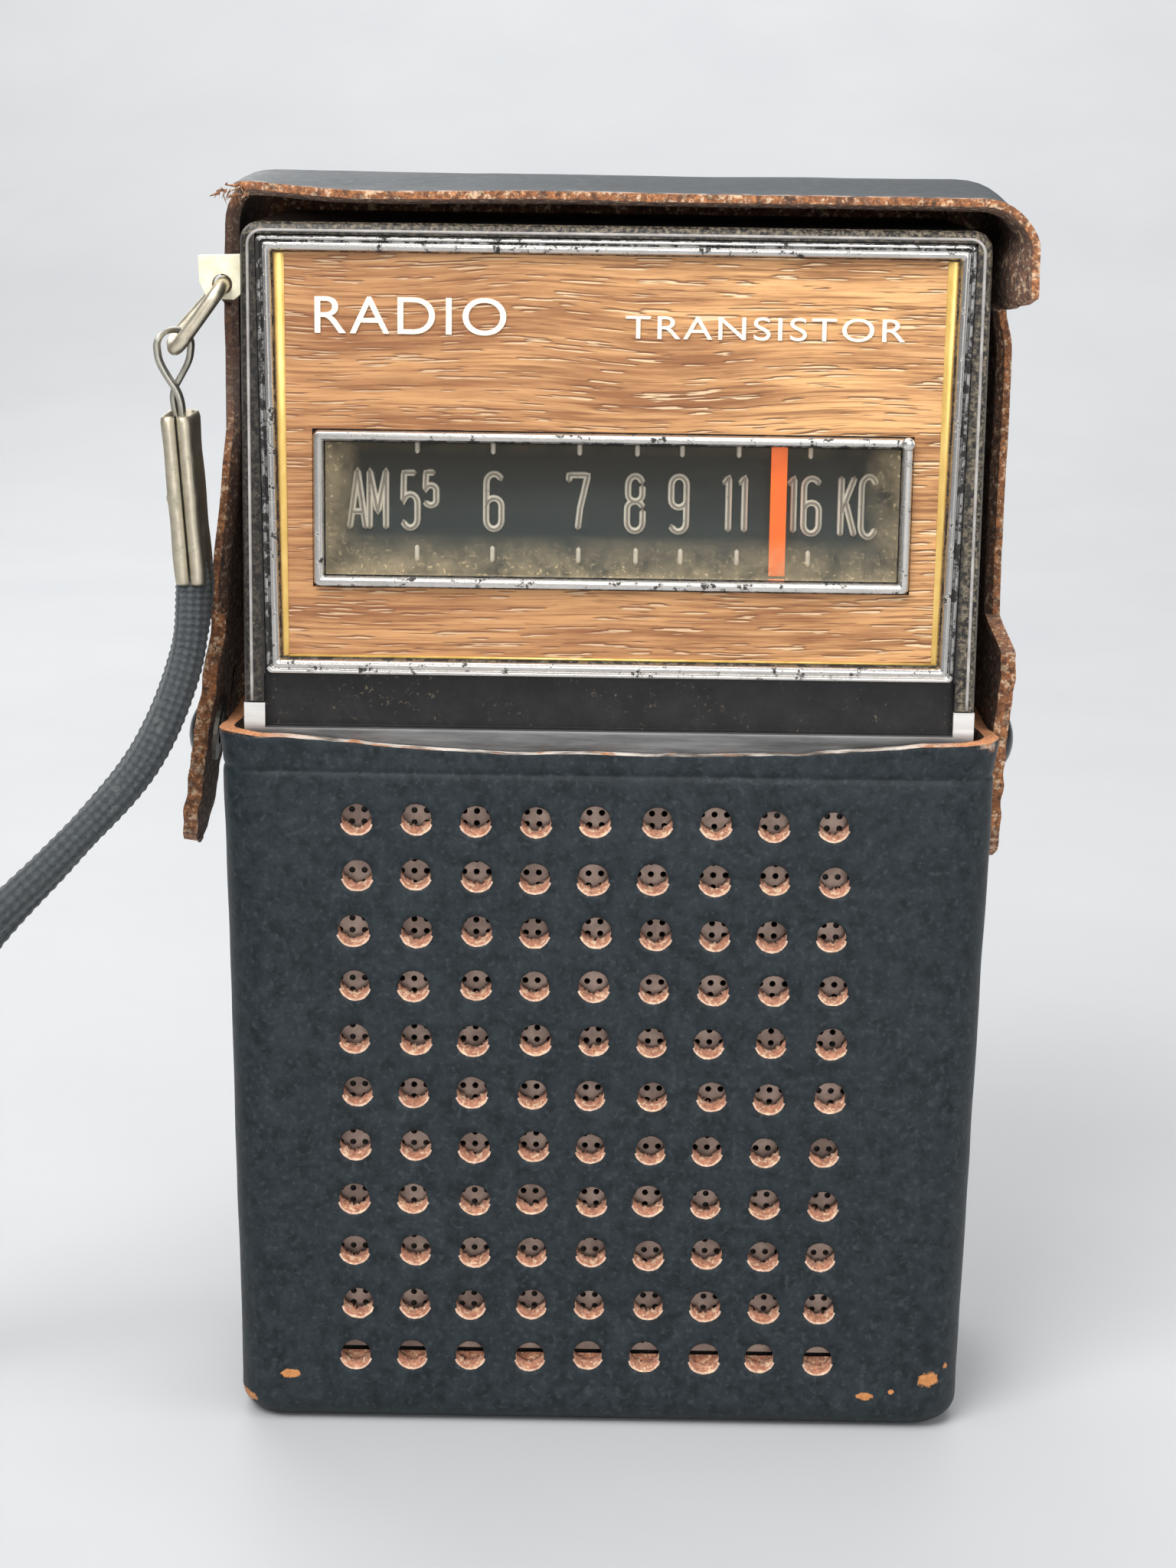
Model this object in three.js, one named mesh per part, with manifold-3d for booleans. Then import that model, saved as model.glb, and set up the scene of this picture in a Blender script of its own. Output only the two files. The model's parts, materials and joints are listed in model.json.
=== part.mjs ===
// A transistor pocket radio in its leather carrying case, with a wrist strap.
// Millimetres, +Z up, +X to the right of someone facing the dial, +Y from the dial towards the back.
// The origin is the middle of the case's flat underside.
import * as THREE from "three";
import { mergeVertices } from "three/addons/utils/BufferGeometryUtils.js";
import Module from "manifold-3d";

const wasm = await Module();
wasm.setup();

// ---------------------------------------------------------------- driving dimensions
const LEATHER = 1.4; // thickness of the case leather
const SLACK = 0.3; // room between two pieces that lie against each other
const RADIO = {
  half: 34.2,
  bottom: LEATHER + SLACK,
  top: 116,
  front: -15.8,
  back: 14.8,
  split: 7,
  wall: 1.5,
};
const FACE = {
  plate: 2,
  ledgeTop: 74.4,
  ledgeBottom: 69.4,
  ledgeHalf: 32.3,
  earTop: 71.6,
  grilleBottom: 7.4,
};
const FRAME = { top: 114.8, bottom: 74.5, topHalf: 32.7, bottomHalf: 32, proud: 0.6, rail: 1.1 };
const WINDOW = { half: 26.6, bottom: 83.7, top: 96.2, rim: 1, proud: 0.4 };
const SCALE = { half: 29.5, bottom: 80, top: 100.6, front: -10.8, thickness: 0.8 };
const POINTER = { x: 15.5, width: 1.5, front: -12.7, thickness: 0.6, tip: 83.8 };
const BOARD = { half: 31.5, bottom: 32.2, top: 112.4, front: -1.6, back: 0 };
const SPEAKER = { x: 0, z: 44, radius: 25, magnet: 11 };
const TUNING = { x: 19.8, z: 98.9, radius: 15.2, cord: 12, front: -6.8, back: -4.4 };
const VOLUME = { x: 27, z: 84.5, radius: 8, front: -4, back: -1.9 };
const CORD = { y: -8, radius: 0.25 };
const PULLEY = { x: -26.5, radius: 2.5, half: 1.1 };
const BOARD_SCREW = { x: 29.5, z: 67.5 };
const FERRITE = { y: 8.4, z: 108.6, radius: 3.5 };
const JACK = { y: 2.2, z: 100.6 };
const BATTERY = { half: 24.5, bottom: 4.7, top: 31.2, front: -4.2, back: 12.8 };
const POCKET = { top: 67.5, corner: 3.6, insideCorner: 0.8, foot: 2 };
const HOLES = {
  columns: 9,
  rows: 11,
  pitchX: 5.65,
  pitchZ: 5.36,
  x: -1.1,
  top: 60.9,
  radius: 1.35,
  sides: 8,
};
const HOOD = { half: 38.4, top: 119.8, front: -16.2, hinge: 49.8, corner: 5.5 };
const TAB = {
  splay: 8,
  top: 76.2,
  bottom: 56.4,
  back: 8.5,
  leftFront: -6,
  rightFront: -8,
  slit: 0.7,
  wallBottom: 78.2,
  wallFoot: 62,
};
const SNAP = { y: 1, z: 65.7 };
const WHEEL_WINDOW = { depth: 5, back: 1.5, top: 109.4 };
const ANCHOR = { top: 48.4, bottom: 34, half: 28, flare: 6 };
const RIVET = { x: 20, z: 40.5, hole: 1.3 };
const LUG = { y: -10, holeX: -36.4, holeZ: 110, half: 0.8 };
const LINK = { wire: 0.65, length: 7.4, halfWidth: 2.6, slope: THREE.MathUtils.degToRad(51) };
const FERRULE = { halfX: 1.95, halfY: 3.65, top: 98, bottom: 82.2, sheet: 0.3, rivet: 90 };
const BRAID = { radius: 1.5, half: 1.6 };

// Faces that several pieces share.
const POCKET_HALF = RADIO.half + SLACK + LEATHER;
const POCKET_FRONT = RADIO.front - SLACK - LEATHER;
const POCKET_BACK = RADIO.back + SLACK + LEATHER;
const HOOD_BACK = POCKET_BACK + SLACK + LEATHER;
const FACE_INSIDE = RADIO.front + FACE.plate;
const SCALE_BACK = SCALE.front + SCALE.thickness;
const CORD_TOP = TUNING.z + TUNING.cord;
const PULLEYS = [CORD_TOP - PULLEY.radius, TUNING.z - TUNING.cord + PULLEY.radius];
const LINK_END = {
  x: LUG.holeX - LINK.length * Math.cos(LINK.slope),
  z: LUG.holeZ - LINK.length * Math.sin(LINK.slope),
};
const FERRULE_X = LINK_END.x + 0.35;
const rivetAt = (side) => ({ x: side * RIVET.x, z: RIVET.z });

// ---------------------------------------------------------------- materials
const finish = (color, roughness, metalness = 0) =>
  new THREE.MeshStandardMaterial({ color, roughness, metalness });
const LOOK = {
  leather: finish(0x1d2022, 0.5),
  blackPlastic: finish(0x26241f, 0.4),
  chrome: finish(0xc9c6bf, 0.25, 1),
  woodgrain: finish(0xa8693f, 0.45),
  clear: new THREE.MeshStandardMaterial({ color: 0xe8eef0, roughness: 0.1, transparent: true, opacity: 0.3 }),
  dialBlack: finish(0x14181b, 0.5),
  pointerRed: finish(0xff4a1c, 0.4),
  aluminium: finish(0xb9b7b2, 0.4, 1),
  steel: finish(0x9a9a96, 0.4, 1),
  paper: finish(0x2b2724, 0.9),
  magnet: finish(0x3a3a3c, 0.6, 0.5),
  board: finish(0x7a5a2c, 0.6),
  ferrite: finish(0x333336, 0.7),
  copper: finish(0x9c5a33, 0.4, 0.8),
  batteryJacket: finish(0x2a3b5c, 0.5),
  cord: finish(0xd8cfae, 0.8),
  brass: finish(0xb08d4a, 0.35, 1),
  blackEnamel: finish(0x0d0e0f, 0.2, 0.3),
  nickel: finish(0xb7af98, 0.35, 1),
  braid: finish(0x23282b, 0.85),
};

// ---------------------------------------------------------------- geometry helpers
const radio = new THREE.Group();
const inOrder = (a, b) => (a < b ? [a, b] : [b, a]);

// A closed three.js geometry as a solid that can be cut and joined.
function solid(geometry) {
  const bare = geometry.clone();
  for (const name of Object.keys(bare.attributes)) if (name !== "position") bare.deleteAttribute(name);
  const merged = mergeVertices(bare, 1e-4);
  return new wasm.Manifold(
    new wasm.Mesh({
      numProp: 3,
      vertProperties: new Float32Array(merged.attributes.position.array),
      triVerts: new Uint32Array(merged.index.array),
    }),
  );
}

// Adds a solid to the model as a named mesh.
function piece(name, shape, material) {
  const made = shape.getMesh();
  const geometry = new THREE.BufferGeometry()
    .setAttribute("position", new THREE.BufferAttribute(made.vertProperties, 3))
    .setIndex(new THREE.BufferAttribute(made.triVerts, 1));
  geometry.computeVertexNormals();
  const mesh = new THREE.Mesh(geometry, material);
  mesh.name = name;
  radio.add(mesh);
  return mesh;
}

const join = (first, ...rest) => rest.reduce((made, next) => made.add(next), first);
const cut = (first, ...rest) => rest.reduce((made, next) => made.subtract(next), first);

function box(x0, x1, y0, y1, z0, z1) {
  const geometry = new THREE.BoxGeometry(x1 - x0, y1 - y0, z1 - z0);
  return solid(geometry.translate((x0 + x1) / 2, (y0 + y1) / 2, (z0 + z1) / 2));
}

// A box that is the same on both sides of the middle.
const slab = (half, y0, y1, z0, z1) => box(-half, half, y0, y1, z0, z1);

function polygon(points) {
  return new THREE.Shape(points.map(([x, y]) => new THREE.Vector2(x, y)));
}

// A rectangle with rounded corners, given by its left, right, bottom and top.
function roundedRectangle(left, right, bottom, top, radius) {
  const shape = new THREE.Shape();
  shape.moveTo(left + radius, bottom);
  shape.lineTo(right - radius, bottom);
  shape.absarc(right - radius, bottom + radius, radius, -Math.PI / 2, 0);
  shape.lineTo(right, top - radius);
  shape.absarc(right - radius, top - radius, radius, 0, Math.PI / 2);
  shape.lineTo(left + radius, top);
  shape.absarc(left + radius, top - radius, radius, Math.PI / 2, Math.PI);
  shape.lineTo(left, bottom + radius);
  shape.absarc(left + radius, bottom + radius, radius, Math.PI, 1.5 * Math.PI);
  return shape;
}

// An outline drawn in X and Z, as thick as y0 to y1. A bevel softens both faces.
function plate(shape, y0, y1, bevel = 0) {
  const geometry = new THREE.ExtrudeGeometry(shape, {
    depth: y1 - y0 - 2 * bevel,
    curveSegments: 4,
    bevelEnabled: bevel > 0,
    bevelThickness: bevel,
    bevelSize: bevel,
    bevelOffset: -bevel,
    bevelSegments: 2,
  });
  return solid(geometry.rotateX(Math.PI / 2).translate(0, y1 - bevel, 0));
}

// An outline drawn in X and Y, standing from z0 to z1.
function column(shape, z0, z1, bevel = 0) {
  const geometry = new THREE.ExtrudeGeometry(shape, {
    depth: z1 - z0 - 2 * bevel,
    curveSegments: 4,
    bevelEnabled: bevel > 0,
    bevelThickness: bevel,
    bevelSize: bevel,
    bevelOffset: -bevel,
    bevelSegments: 3,
  });
  return solid(geometry.translate(0, 0, z0 + bevel));
}

// Turns geometry made along +Y so that it runs along another axis.
function aim(geometry, axis) {
  if (axis === "x") geometry.rotateZ(-Math.PI / 2);
  if (axis === "z") geometry.rotateX(Math.PI / 2);
  return geometry;
}

// A round bar along an axis. Only the place along that axis comes from start and end.
function rod(radius, axis, start, end, at, sides = 20) {
  const geometry = aim(new THREE.CylinderGeometry(radius, radius, end - start, sides), axis);
  const centre = new THREE.Vector3(at.x ?? 0, at.y ?? 0, at.z ?? 0);
  centre[axis] = (start + end) / 2;
  return solid(geometry.translate(centre.x, centre.y, centre.z));
}

// A turned piece about an axis parallel to Y. The profile's points are [radius, y].
function turned(profile, at, sides = 32) {
  const points = profile.map(([radius, y]) => new THREE.Vector2(radius, y));
  if (THREE.ShapeUtils.area(points) < 0) points.reverse();
  return solid(new THREE.LatheGeometry(points, sides).translate(at.x, 0, at.z));
}

// A wheel's outline with a milled edge, in X and Z about the wheel's centre.
function milledOutline(at, radius, teeth, depth) {
  const points = Array.from({ length: 2 * teeth }, (_, i) => {
    const angle = (i * Math.PI) / teeth;
    const r = i % 2 ? radius : radius - depth;
    return [at.x + r * Math.cos(angle), at.z + r * Math.sin(angle)];
  });
  return polygon(points);
}

function circle(radius, sides) {
  return polygon(
    Array.from({ length: sides }, (_, i) => {
      const angle = (2 * Math.PI * i) / sides;
      return [radius * Math.cos(angle), radius * Math.sin(angle)];
    }),
  );
}

// A round bar bent along a curve.
function bar(curve, radius, steps, sides) {
  return solid(
    new THREE.ExtrudeGeometry(circle(radius, sides), { steps, extrudePath: curve, bevelEnabled: false }),
  );
}

// A trapezium that stands on its narrower edge, grown outwards by grow.
function frameOutline(grow) {
  const { topHalf, bottomHalf, top, bottom } = FRAME;
  return polygon([
    [-bottomHalf - grow, bottom - grow],
    [bottomHalf + grow, bottom - grow],
    [topHalf + grow, top + grow],
    [-topHalf - grow, top + grow],
  ]);
}

// ---------------------------------------------------------------- cabinet
function cabinetShell(y0, y1, inside0, inside1) {
  const { half, bottom, top, wall } = RADIO;
  const outline = roundedRectangle(-half, half, bottom, top, 1.8);
  const hollow = roundedRectangle(-half + wall, half - wall, bottom + wall, top - wall, 1);
  const whole = plate(outline, RADIO.front, RADIO.back, 0.7);
  const kept = whole.intersect(slab(half + 1, y0, y1, bottom - 1, top + 1));
  return cut(kept, plate(hollow, inside0, inside1));
}

// The slot in the right wall that a thumbwheel's edge stands out of.
function wheelSlot(wheel) {
  const inside = RADIO.half - RADIO.wall - 0.2;
  const chord = Math.sqrt(wheel.radius ** 2 - (inside - wheel.x) ** 2) + 0.4;
  return box(inside, RADIO.half + 1, wheel.front - 0.4, wheel.back + 0.4, wheel.z - chord, wheel.z + chord);
}

function frontCabinet() {
  const { half, front, split, wall } = RADIO;
  const end = split - 0.1;
  const open = front - 1;
  const { half: windowHalf, bottom, top } = WINDOW;
  const seat = front + 0.7;
  const tunnel = cut(
    slab(windowHalf + 1.2, FACE_INSIDE - 0.5, SCALE.front - 0.4, bottom - 1.2, top + 1.2),
    slab(windowHalf + 2, FACE_INSIDE + 0.6, SCALE.front, top + 0.4, top + 2),
  );
  const bosses = [-1, 1].map((side) =>
    rod(2.6, "y", FACE_INSIDE - 0.5, BOARD.front - 0.1, { x: side * BOARD_SCREW.x, z: BOARD_SCREW.z }),
  );
  const bossHoles = [-1, 1].map((side) =>
    rod(1.2, "y", -9, BOARD.front + 1, { x: side * BOARD_SCREW.x, z: BOARD_SCREW.z }, 12),
  );
  const shell = join(cabinetShell(front - 1, end, FACE_INSIDE, end + 1), tunnel, ...bosses);
  return cut(
    shell,
    slab(half + 1, open, seat, 0, FACE.earTop + 0.1),
    slab(FACE.ledgeHalf, open, front + 1.5, FACE.ledgeBottom - 0.1, FACE.ledgeTop),
    plate(frameOutline(0.1), open, front + 1.2),
    slab(windowHalf + 0.4, open, SCALE.front, bottom - 0.4, top + 0.4),
    rod(SPEAKER.radius - 2.5, "y", open, FACE_INSIDE + 1, SPEAKER, 32),
    ...[TUNING, VOLUME].map((wheel) => wheelSlot(wheel)),
    rod(2.9, "x", -half - 1, -half + wall + 0.2, JACK),
    box(-half - 1, -half + wall + 0.2, LUG.y - LUG.half - 0.2, LUG.y + LUG.half + 0.2, 109.2, 112.9),
    ...bossHoles,
  );
}

function rearCabinet() {
  const { half, back, split, wall, bottom, top } = RADIO;
  const ring = (inset, y0, y1) => {
    const outer = roundedRectangle(-half + inset, half - inset, bottom + inset, top - inset, 0.9);
    const inner = wall + 1.2;
    const hole = roundedRectangle(-half + inner, half - inner, bottom + inner, top - inner, 0.5);
    return cut(plate(outer, y0, y1), plate(hole, y0 - 1, y1 + 1));
  };
  // The lip slips inside the front half and is rooted in the rear half's wall.
  const lip = join(ring(wall + 0.2, split - 1.8, split + 0.6), ring(wall - 0.4, split + 0.1, split + 1.5));
  const shell = cabinetShell(split + 0.1, back + 1, split - 1, back - wall);
  const thumbNotch = rod(4, "y", back - 0.7, back + 1, { x: 0, z: top - 4 }, 24);
  return cut(join(shell, lip), thumbNotch);
}

// ---------------------------------------------------------------- dial
function chromeFrame() {
  const { front } = RADIO;
  const ring = cut(
    plate(frameOutline(0), front - FRAME.proud, front + 1.1),
    plate(frameOutline(-FRAME.rail), front - 2, front + 2),
  );
  // The inner edge slopes back to the panel in a second, lower step.
  const step = cut(
    plate(frameOutline(-FRAME.rail + 0.1), front - 0.1, front + 0.3),
    plate(frameOutline(-FRAME.rail - 0.4), front - 2, front + 2),
  );
  return join(ring, step);
}

function woodgrainPanel() {
  const { half, bottom, top, rim } = WINDOW;
  return cut(
    plate(frameOutline(-FRAME.rail - 0.1), RADIO.front + 0.4, RADIO.front + 1.1),
    slab(half + rim + 0.1, RADIO.front - 1, RADIO.front + 2, bottom - rim - 0.1, top + rim + 0.1),
  );
}

function dialBezel() {
  const { half, bottom, top, rim, proud } = WINDOW;
  const front = RADIO.front - proud;
  const outer = roundedRectangle(-half - rim, half + rim, bottom - rim, top + rim, 0.5);
  return cut(plate(outer, front, RADIO.front + 1.1), slab(half, front - 1, RADIO.front + 2, bottom, top));
}

function dialWindow() {
  const { half, bottom, top } = WINDOW;
  const gap = 0.1;
  return slab(half - gap, RADIO.front + 0.4, RADIO.front + 1.4, bottom + gap, top - gap);
}

// The scale plate also carries the two posts that the cord pulleys turn on.
function dialScale() {
  const posts = PULLEYS.map((z) => rod(0.9, "y", SCALE_BACK - 0.4, CORD.y + 2.2, { x: PULLEY.x, z }, 16));
  const ear = box(-SCALE.half, PULLEY.x + 2.6, SCALE.front, SCALE_BACK, SCALE.top - 1, PULLEYS[0] + 2);
  return join(slab(SCALE.half, SCALE.front, SCALE_BACK, SCALE.bottom, SCALE.top), ear, ...posts);
}

// The pointer hangs from a saddle over the scale's top edge, whose hook is carried by the cord's upper run.
function dialPointer() {
  const { x, width, front, thickness, tip } = POINTER;
  const clip = 1.5;
  const saddle = SCALE.top + 0.3;
  const hook = CORD_TOP + 0.7;
  const riser = SCALE_BACK + 0.1;
  return join(
    box(x - width / 2, x + width / 2, front, front + thickness, tip, saddle + 1),
    box(x - clip, x + clip, front, riser, saddle, saddle + 1),
    box(x - clip, x + clip, riser - 0.7, riser, saddle, hook + 0.8),
    box(x - clip, x + clip, riser - 0.7, CORD.y + 0.7, hook, hook + 0.8),
  );
}

// The closed loop of cord: over the drum, along the top, round the two pulleys and back along the bottom.
function dialCord() {
  const turns = 10;
  const arc = (centre, radius, from, to) =>
    Array.from({ length: turns + 1 }, (_, i) => {
      const angle = from + ((to - from) * i) / turns;
      return [centre.x + radius * Math.cos(angle), centre.z + radius * Math.sin(angle)];
    });
  const route = (radius) =>
    polygon([
      ...arc(TUNING, TUNING.cord + radius, -Math.PI / 2, Math.PI / 2),
      ...arc({ x: PULLEY.x, z: PULLEYS[0] }, PULLEY.radius + radius, Math.PI / 2, Math.PI),
      ...arc({ x: PULLEY.x, z: PULLEYS[1] }, PULLEY.radius + radius, Math.PI, 1.5 * Math.PI),
    ]);
  const [outside, inside] = [route(CORD.radius), route(-CORD.radius)];
  return cut(
    plate(outside, CORD.y - CORD.radius, CORD.y + CORD.radius),
    plate(inside, CORD.y - 1, CORD.y + 1),
  );
}

function pulley(z) {
  const { x, radius, half } = PULLEY;
  const groove = radius - CORD.radius - 0.15;
  const rim = radius + 0.5;
  const { y } = CORD;
  const profile = [
    [0.98, y + half],
    [0.98, y - half],
    [rim, y - half],
    [rim, y - 0.7],
    [groove, y - 0.4],
    [groove, y + 0.4],
    [rim, y + 0.7],
    [rim, y + half],
    [0.98, y + half],
  ];
  return turned(profile, { x, z }, 24);
}

// ---------------------------------------------------------------- controls
function tuningWheel() {
  const groove = TUNING.cord - CORD.radius - 0.15;
  const flange = TUNING.cord + 0.5;
  const drumFront = CORD.y - 1.25;
  const drum = turned(
    [
      [0, TUNING.front + 0.5],
      [flange, TUNING.front + 0.5],
      [flange, CORD.y + 0.6],
      [groove, CORD.y + 0.4],
      [groove, CORD.y - 0.4],
      [flange, CORD.y - 0.6],
      [flange, drumFront],
      [0, drumFront],
    ],
    TUNING,
    36,
  );
  const rim = plate(milledOutline(TUNING, TUNING.radius, 48, 0.45), TUNING.front, TUNING.back);
  return cut(join(rim, drum), rod(3.1, "y", -10, 0, TUNING));
}

function tuningShaft() {
  return cut(rod(3, "y", -8.2, 2.6, TUNING), rod(1.1, "y", -9, -4, TUNING, 12));
}

function tuningScrew() {
  const head = rod(2.5, "y", -9.4, -8.3, TUNING);
  const slot = box(TUNING.x - 3, TUNING.x + 3, -10, -9, TUNING.z - 0.35, TUNING.z + 0.35);
  return cut(join(head, rod(0.95, "y", -8.5, -4.4, TUNING, 12)), slot);
}

function tuningCapacitor() {
  const { x, z } = TUNING;
  return cut(box(x - 8, x + 8, 0.2, 9, z - 8, z + 8), rod(3.2, "y", -1, 3, TUNING));
}

// The volume wheel is moulded with its own short shaft.
function volumeWheel() {
  const rim = plate(milledOutline(VOLUME, VOLUME.radius, 28, 0.45), VOLUME.front, VOLUME.back);
  return join(rim, rod(2, "y", VOLUME.back - 0.5, 2, VOLUME));
}

function volumeControl() {
  return cut(rod(5.4, "y", 0.2, 4.9, VOLUME, 28), rod(2.2, "y", -1, 2.4, VOLUME));
}

// ---------------------------------------------------------------- electronics
function circuitBoard() {
  const { half, bottom, top, front, back } = BOARD;
  const through = (radius, at) => rod(radius, "y", front - 1, back + 1, at);
  return cut(
    slab(half, front, back, bottom, top),
    through(SPEAKER.magnet + 1.5, SPEAKER),
    through(3.4, TUNING),
    through(2.4, VOLUME),
    ...[-1, 1].map((side) => through(1.4, { x: side * BOARD_SCREW.x, z: BOARD_SCREW.z })),
  );
}

function boardScrew(side) {
  const at = { x: side * BOARD_SCREW.x, z: BOARD_SCREW.z };
  const head = rod(2.4, "y", 0.1, 1.5, at);
  const slot = box(at.x - 3, at.x + 3, 1.1, 2, at.z - 0.3, at.z + 0.3);
  return cut(join(head, rod(1.0, "y", -7.5, 0.4, at, 12)), slot);
}

// A screened tuning can with the hole for its core.
function can(x, z) {
  return cut(box(x - 3.8, x + 3.8, 0.2, 11, z - 3.8, z + 3.8), rod(1.7, "y", 9.6, 12, { x, z }, 14));
}

// An iron-cored transformer: a squarer core through a rounder winding.
function transformer(x, z) {
  return join(
    box(x - 6.5, x + 6.5, 2, 7.5, z - 5.2, z + 5.2),
    box(x - 4, x + 4, 0.2, 10, z - 3.4, z + 3.4),
  );
}

// A small can on three short legs, joined as one piece.
function transistor(x, z) {
  const legs = [-1.2, 0, 1.2].map((dx) => rod(0.3, "y", 0.1, 2.6, { x: x + dx, z }, 8));
  return join(rod(2.5, "y", 2.4, 7, { x, z }, 20), rod(2.9, "y", 2.1, 2.6, { x, z }, 20), ...legs);
}

function electrolytic(x, z) {
  return cut(rod(3.1, "y", 0.2, 9.5, { x, z }, 20), box(x - 2, x + 2, 9.2, 10, z - 0.25, z + 0.25));
}

// The parts that stand on the back of the board, each with its place in X and Z.
const BOARD_PARTS = [
  ["oscillator_can", can, LOOK.aluminium, -2, 97],
  ["if_can_1", can, LOOK.aluminium, -13, 92],
  ["if_can_2", can, LOOK.aluminium, -24, 87],
  ["driver_transformer", transformer, LOOK.steel, -14, 70],
  ["output_transformer", transformer, LOOK.steel, 9, 70],
  ["transistor_1", transistor, LOOK.steel, 6, 84],
  ["transistor_2", transistor, LOOK.steel, -24, 73],
  ["transistor_3", transistor, LOOK.steel, -25, 56],
  ["transistor_4", transistor, LOOK.steel, 24, 55],
  ["electrolytic_1", electrolytic, LOOK.batteryJacket, -24, 42],
  ["electrolytic_2", electrolytic, LOOK.batteryJacket, 24, 42],
];

function antennaCoil() {
  return cut(rod(4.4, "x", -18, -4, FERRITE, 24), rod(FERRITE.radius + 0.15, "x", -20, -2, FERRITE, 24));
}

function earphoneJack() {
  const { half, wall } = RADIO;
  const sleeve = rod(2.7, "x", -half + 0.1, -half + wall + 1, JACK);
  const block = box(-half + wall + 0.4, -22.5, BOARD.back + 0.2, JACK.y + 2.7, JACK.z - 3.4, JACK.z + 3.4);
  return cut(join(sleeve, block), rod(1.75, "x", -half - 1, -24, JACK));
}

// The grille sheet runs up past both ends of the ledge as two ears.
function speakerGrille() {
  const { ledgeHalf, ledgeBottom, earTop, grilleBottom } = FACE;
  const outline = polygon([
    [-RADIO.half, grilleBottom],
    [RADIO.half, grilleBottom],
    [RADIO.half, earTop],
    [ledgeHalf, earTop],
    [ledgeHalf, ledgeBottom],
    [-ledgeHalf, ledgeBottom],
    [-ledgeHalf, earTop],
    [-RADIO.half, earTop],
  ]);
  return plate(outline, RADIO.front, RADIO.front + 0.6);
}

function speakerBasket() {
  const { radius, magnet } = SPEAKER;
  const front = FACE_INSIDE + 0.2;
  return turned(
    [
      [radius - 2, front],
      [radius, front],
      [radius, front + 0.8],
      [radius - 1.6, front + 0.8],
      [magnet + 1.5, -5.2],
      [magnet + 1.5, -4.4],
      [4.6, -4.4],
      [4.6, -5.2],
      [magnet + 0.6, -5.2],
      [radius - 2.6, front + 0.8],
      [radius - 2, front],
    ],
    SPEAKER,
    36,
  );
}

function speakerCone() {
  const outer = SPEAKER.radius - 3;
  const front = FACE_INSIDE + 0.4;
  return turned(
    [
      [0, -7.4],
      [4, -8.2],
      [outer, front],
      [outer, front + 0.5],
      [5, -7.2],
      [4, -6.4],
      [0, -6.6],
    ],
    SPEAKER,
    36,
  );
}

function battery() {
  const { half, bottom, top, front, back } = BATTERY;
  const middle = { y: (front + back) / 2, z: (bottom + top) / 2 };
  const end = half - 3;
  const stud = (dz) => rod(2.9, "x", end - 0.5, half - 0.2, { y: middle.y, z: middle.z + dz }, 16);
  const studs = [-6.4, 6.4].map(stud);
  return join(box(-half, end, front, back, bottom, top), ...studs);
}

function batterySnap() {
  const { half, bottom, top, front, back } = BATTERY;
  const middle = { y: (front + back) / 2, z: (bottom + top) / 2 };
  const start = half - 2.6;
  const hole = (dz) => rod(3.2, "x", start - 1, half, { y: middle.y, z: middle.z + dz }, 16);
  const holes = [-6.4, 6.4].map(hole);
  return cut(box(start, half + 1, front + 2, back - 2, bottom + 1, top - 1), ...holes);
}

// ---------------------------------------------------------------- leather case
// The punched holes that let the sound out, as the rods that cut them.
function soundHoles() {
  const { rows, columns, pitchX, pitchZ, radius, sides } = HOLES;
  const span = [POCKET_FRONT - 1, POCKET_FRONT + LEATHER + 0.2];
  return Array.from({ length: rows * columns }, (_, i) => {
    const x = HOLES.x + ((i % columns) - (columns - 1) / 2) * pitchX;
    const z = HOLES.top - Math.floor(i / columns) * pitchZ;
    return rod(radius, "y", ...span, { x, z }, sides);
  });
}

function casePocket() {
  const { top, corner, insideCorner, foot } = POCKET;
  const outside = roundedRectangle(-POCKET_HALF, POCKET_HALF, POCKET_FRONT, POCKET_BACK, corner);
  const t = LEATHER;
  const inside = roundedRectangle(
    -POCKET_HALF + t,
    POCKET_HALF - t,
    POCKET_FRONT + t,
    POCKET_BACK - t,
    insideCorner,
  );
  const trimmed = cut(column(outside, 0, top + 8, foot), slab(50, -30, 30, top, top + 20));
  const snapSeats = [-1, 1].flatMap((side) => {
    const reach = (depth) => side * (POCKET_HALF - LEATHER + depth);
    return [
      rod(1.3, "x", ...inOrder(side * 30, side * 40), SNAP, 16),
      rod(2.8, "x", ...inOrder(side * 30, reach(0.6)), SNAP, 20),
    ];
  });
  const rivetSeats = [-1, 1].flatMap((side) => [
    rod(RIVET.hole, "y", 10, 20, rivetAt(side), 16),
    rod(2 * RIVET.hole, "y", 10, POCKET_BACK - LEATHER + 0.6, rivetAt(side), 20),
  ]);
  return cut(trimmed, column(inside, t, top + 20), ...soundHoles(), ...snapSeats, ...rivetSeats);
}

// A press stud's male half, riveted through the pocket's side.
function snapStud(side) {
  const span = (from, to) => inOrder(side * (POCKET_HALF + from), side * (POCKET_HALF + to));
  return join(
    rod(1.1, "x", ...span(-LEATHER + 0.3, 0.2), SNAP, 16),
    rod(2.5, "x", ...span(-LEATHER + 0.1, -LEATHER + 0.5), SNAP, 20),
    rod(2.6, "x", ...span(0.05, 0.35), SNAP, 20),
    rod(1.5, "x", ...span(0.3, 0.8), SNAP, 20),
  );
}

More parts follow.
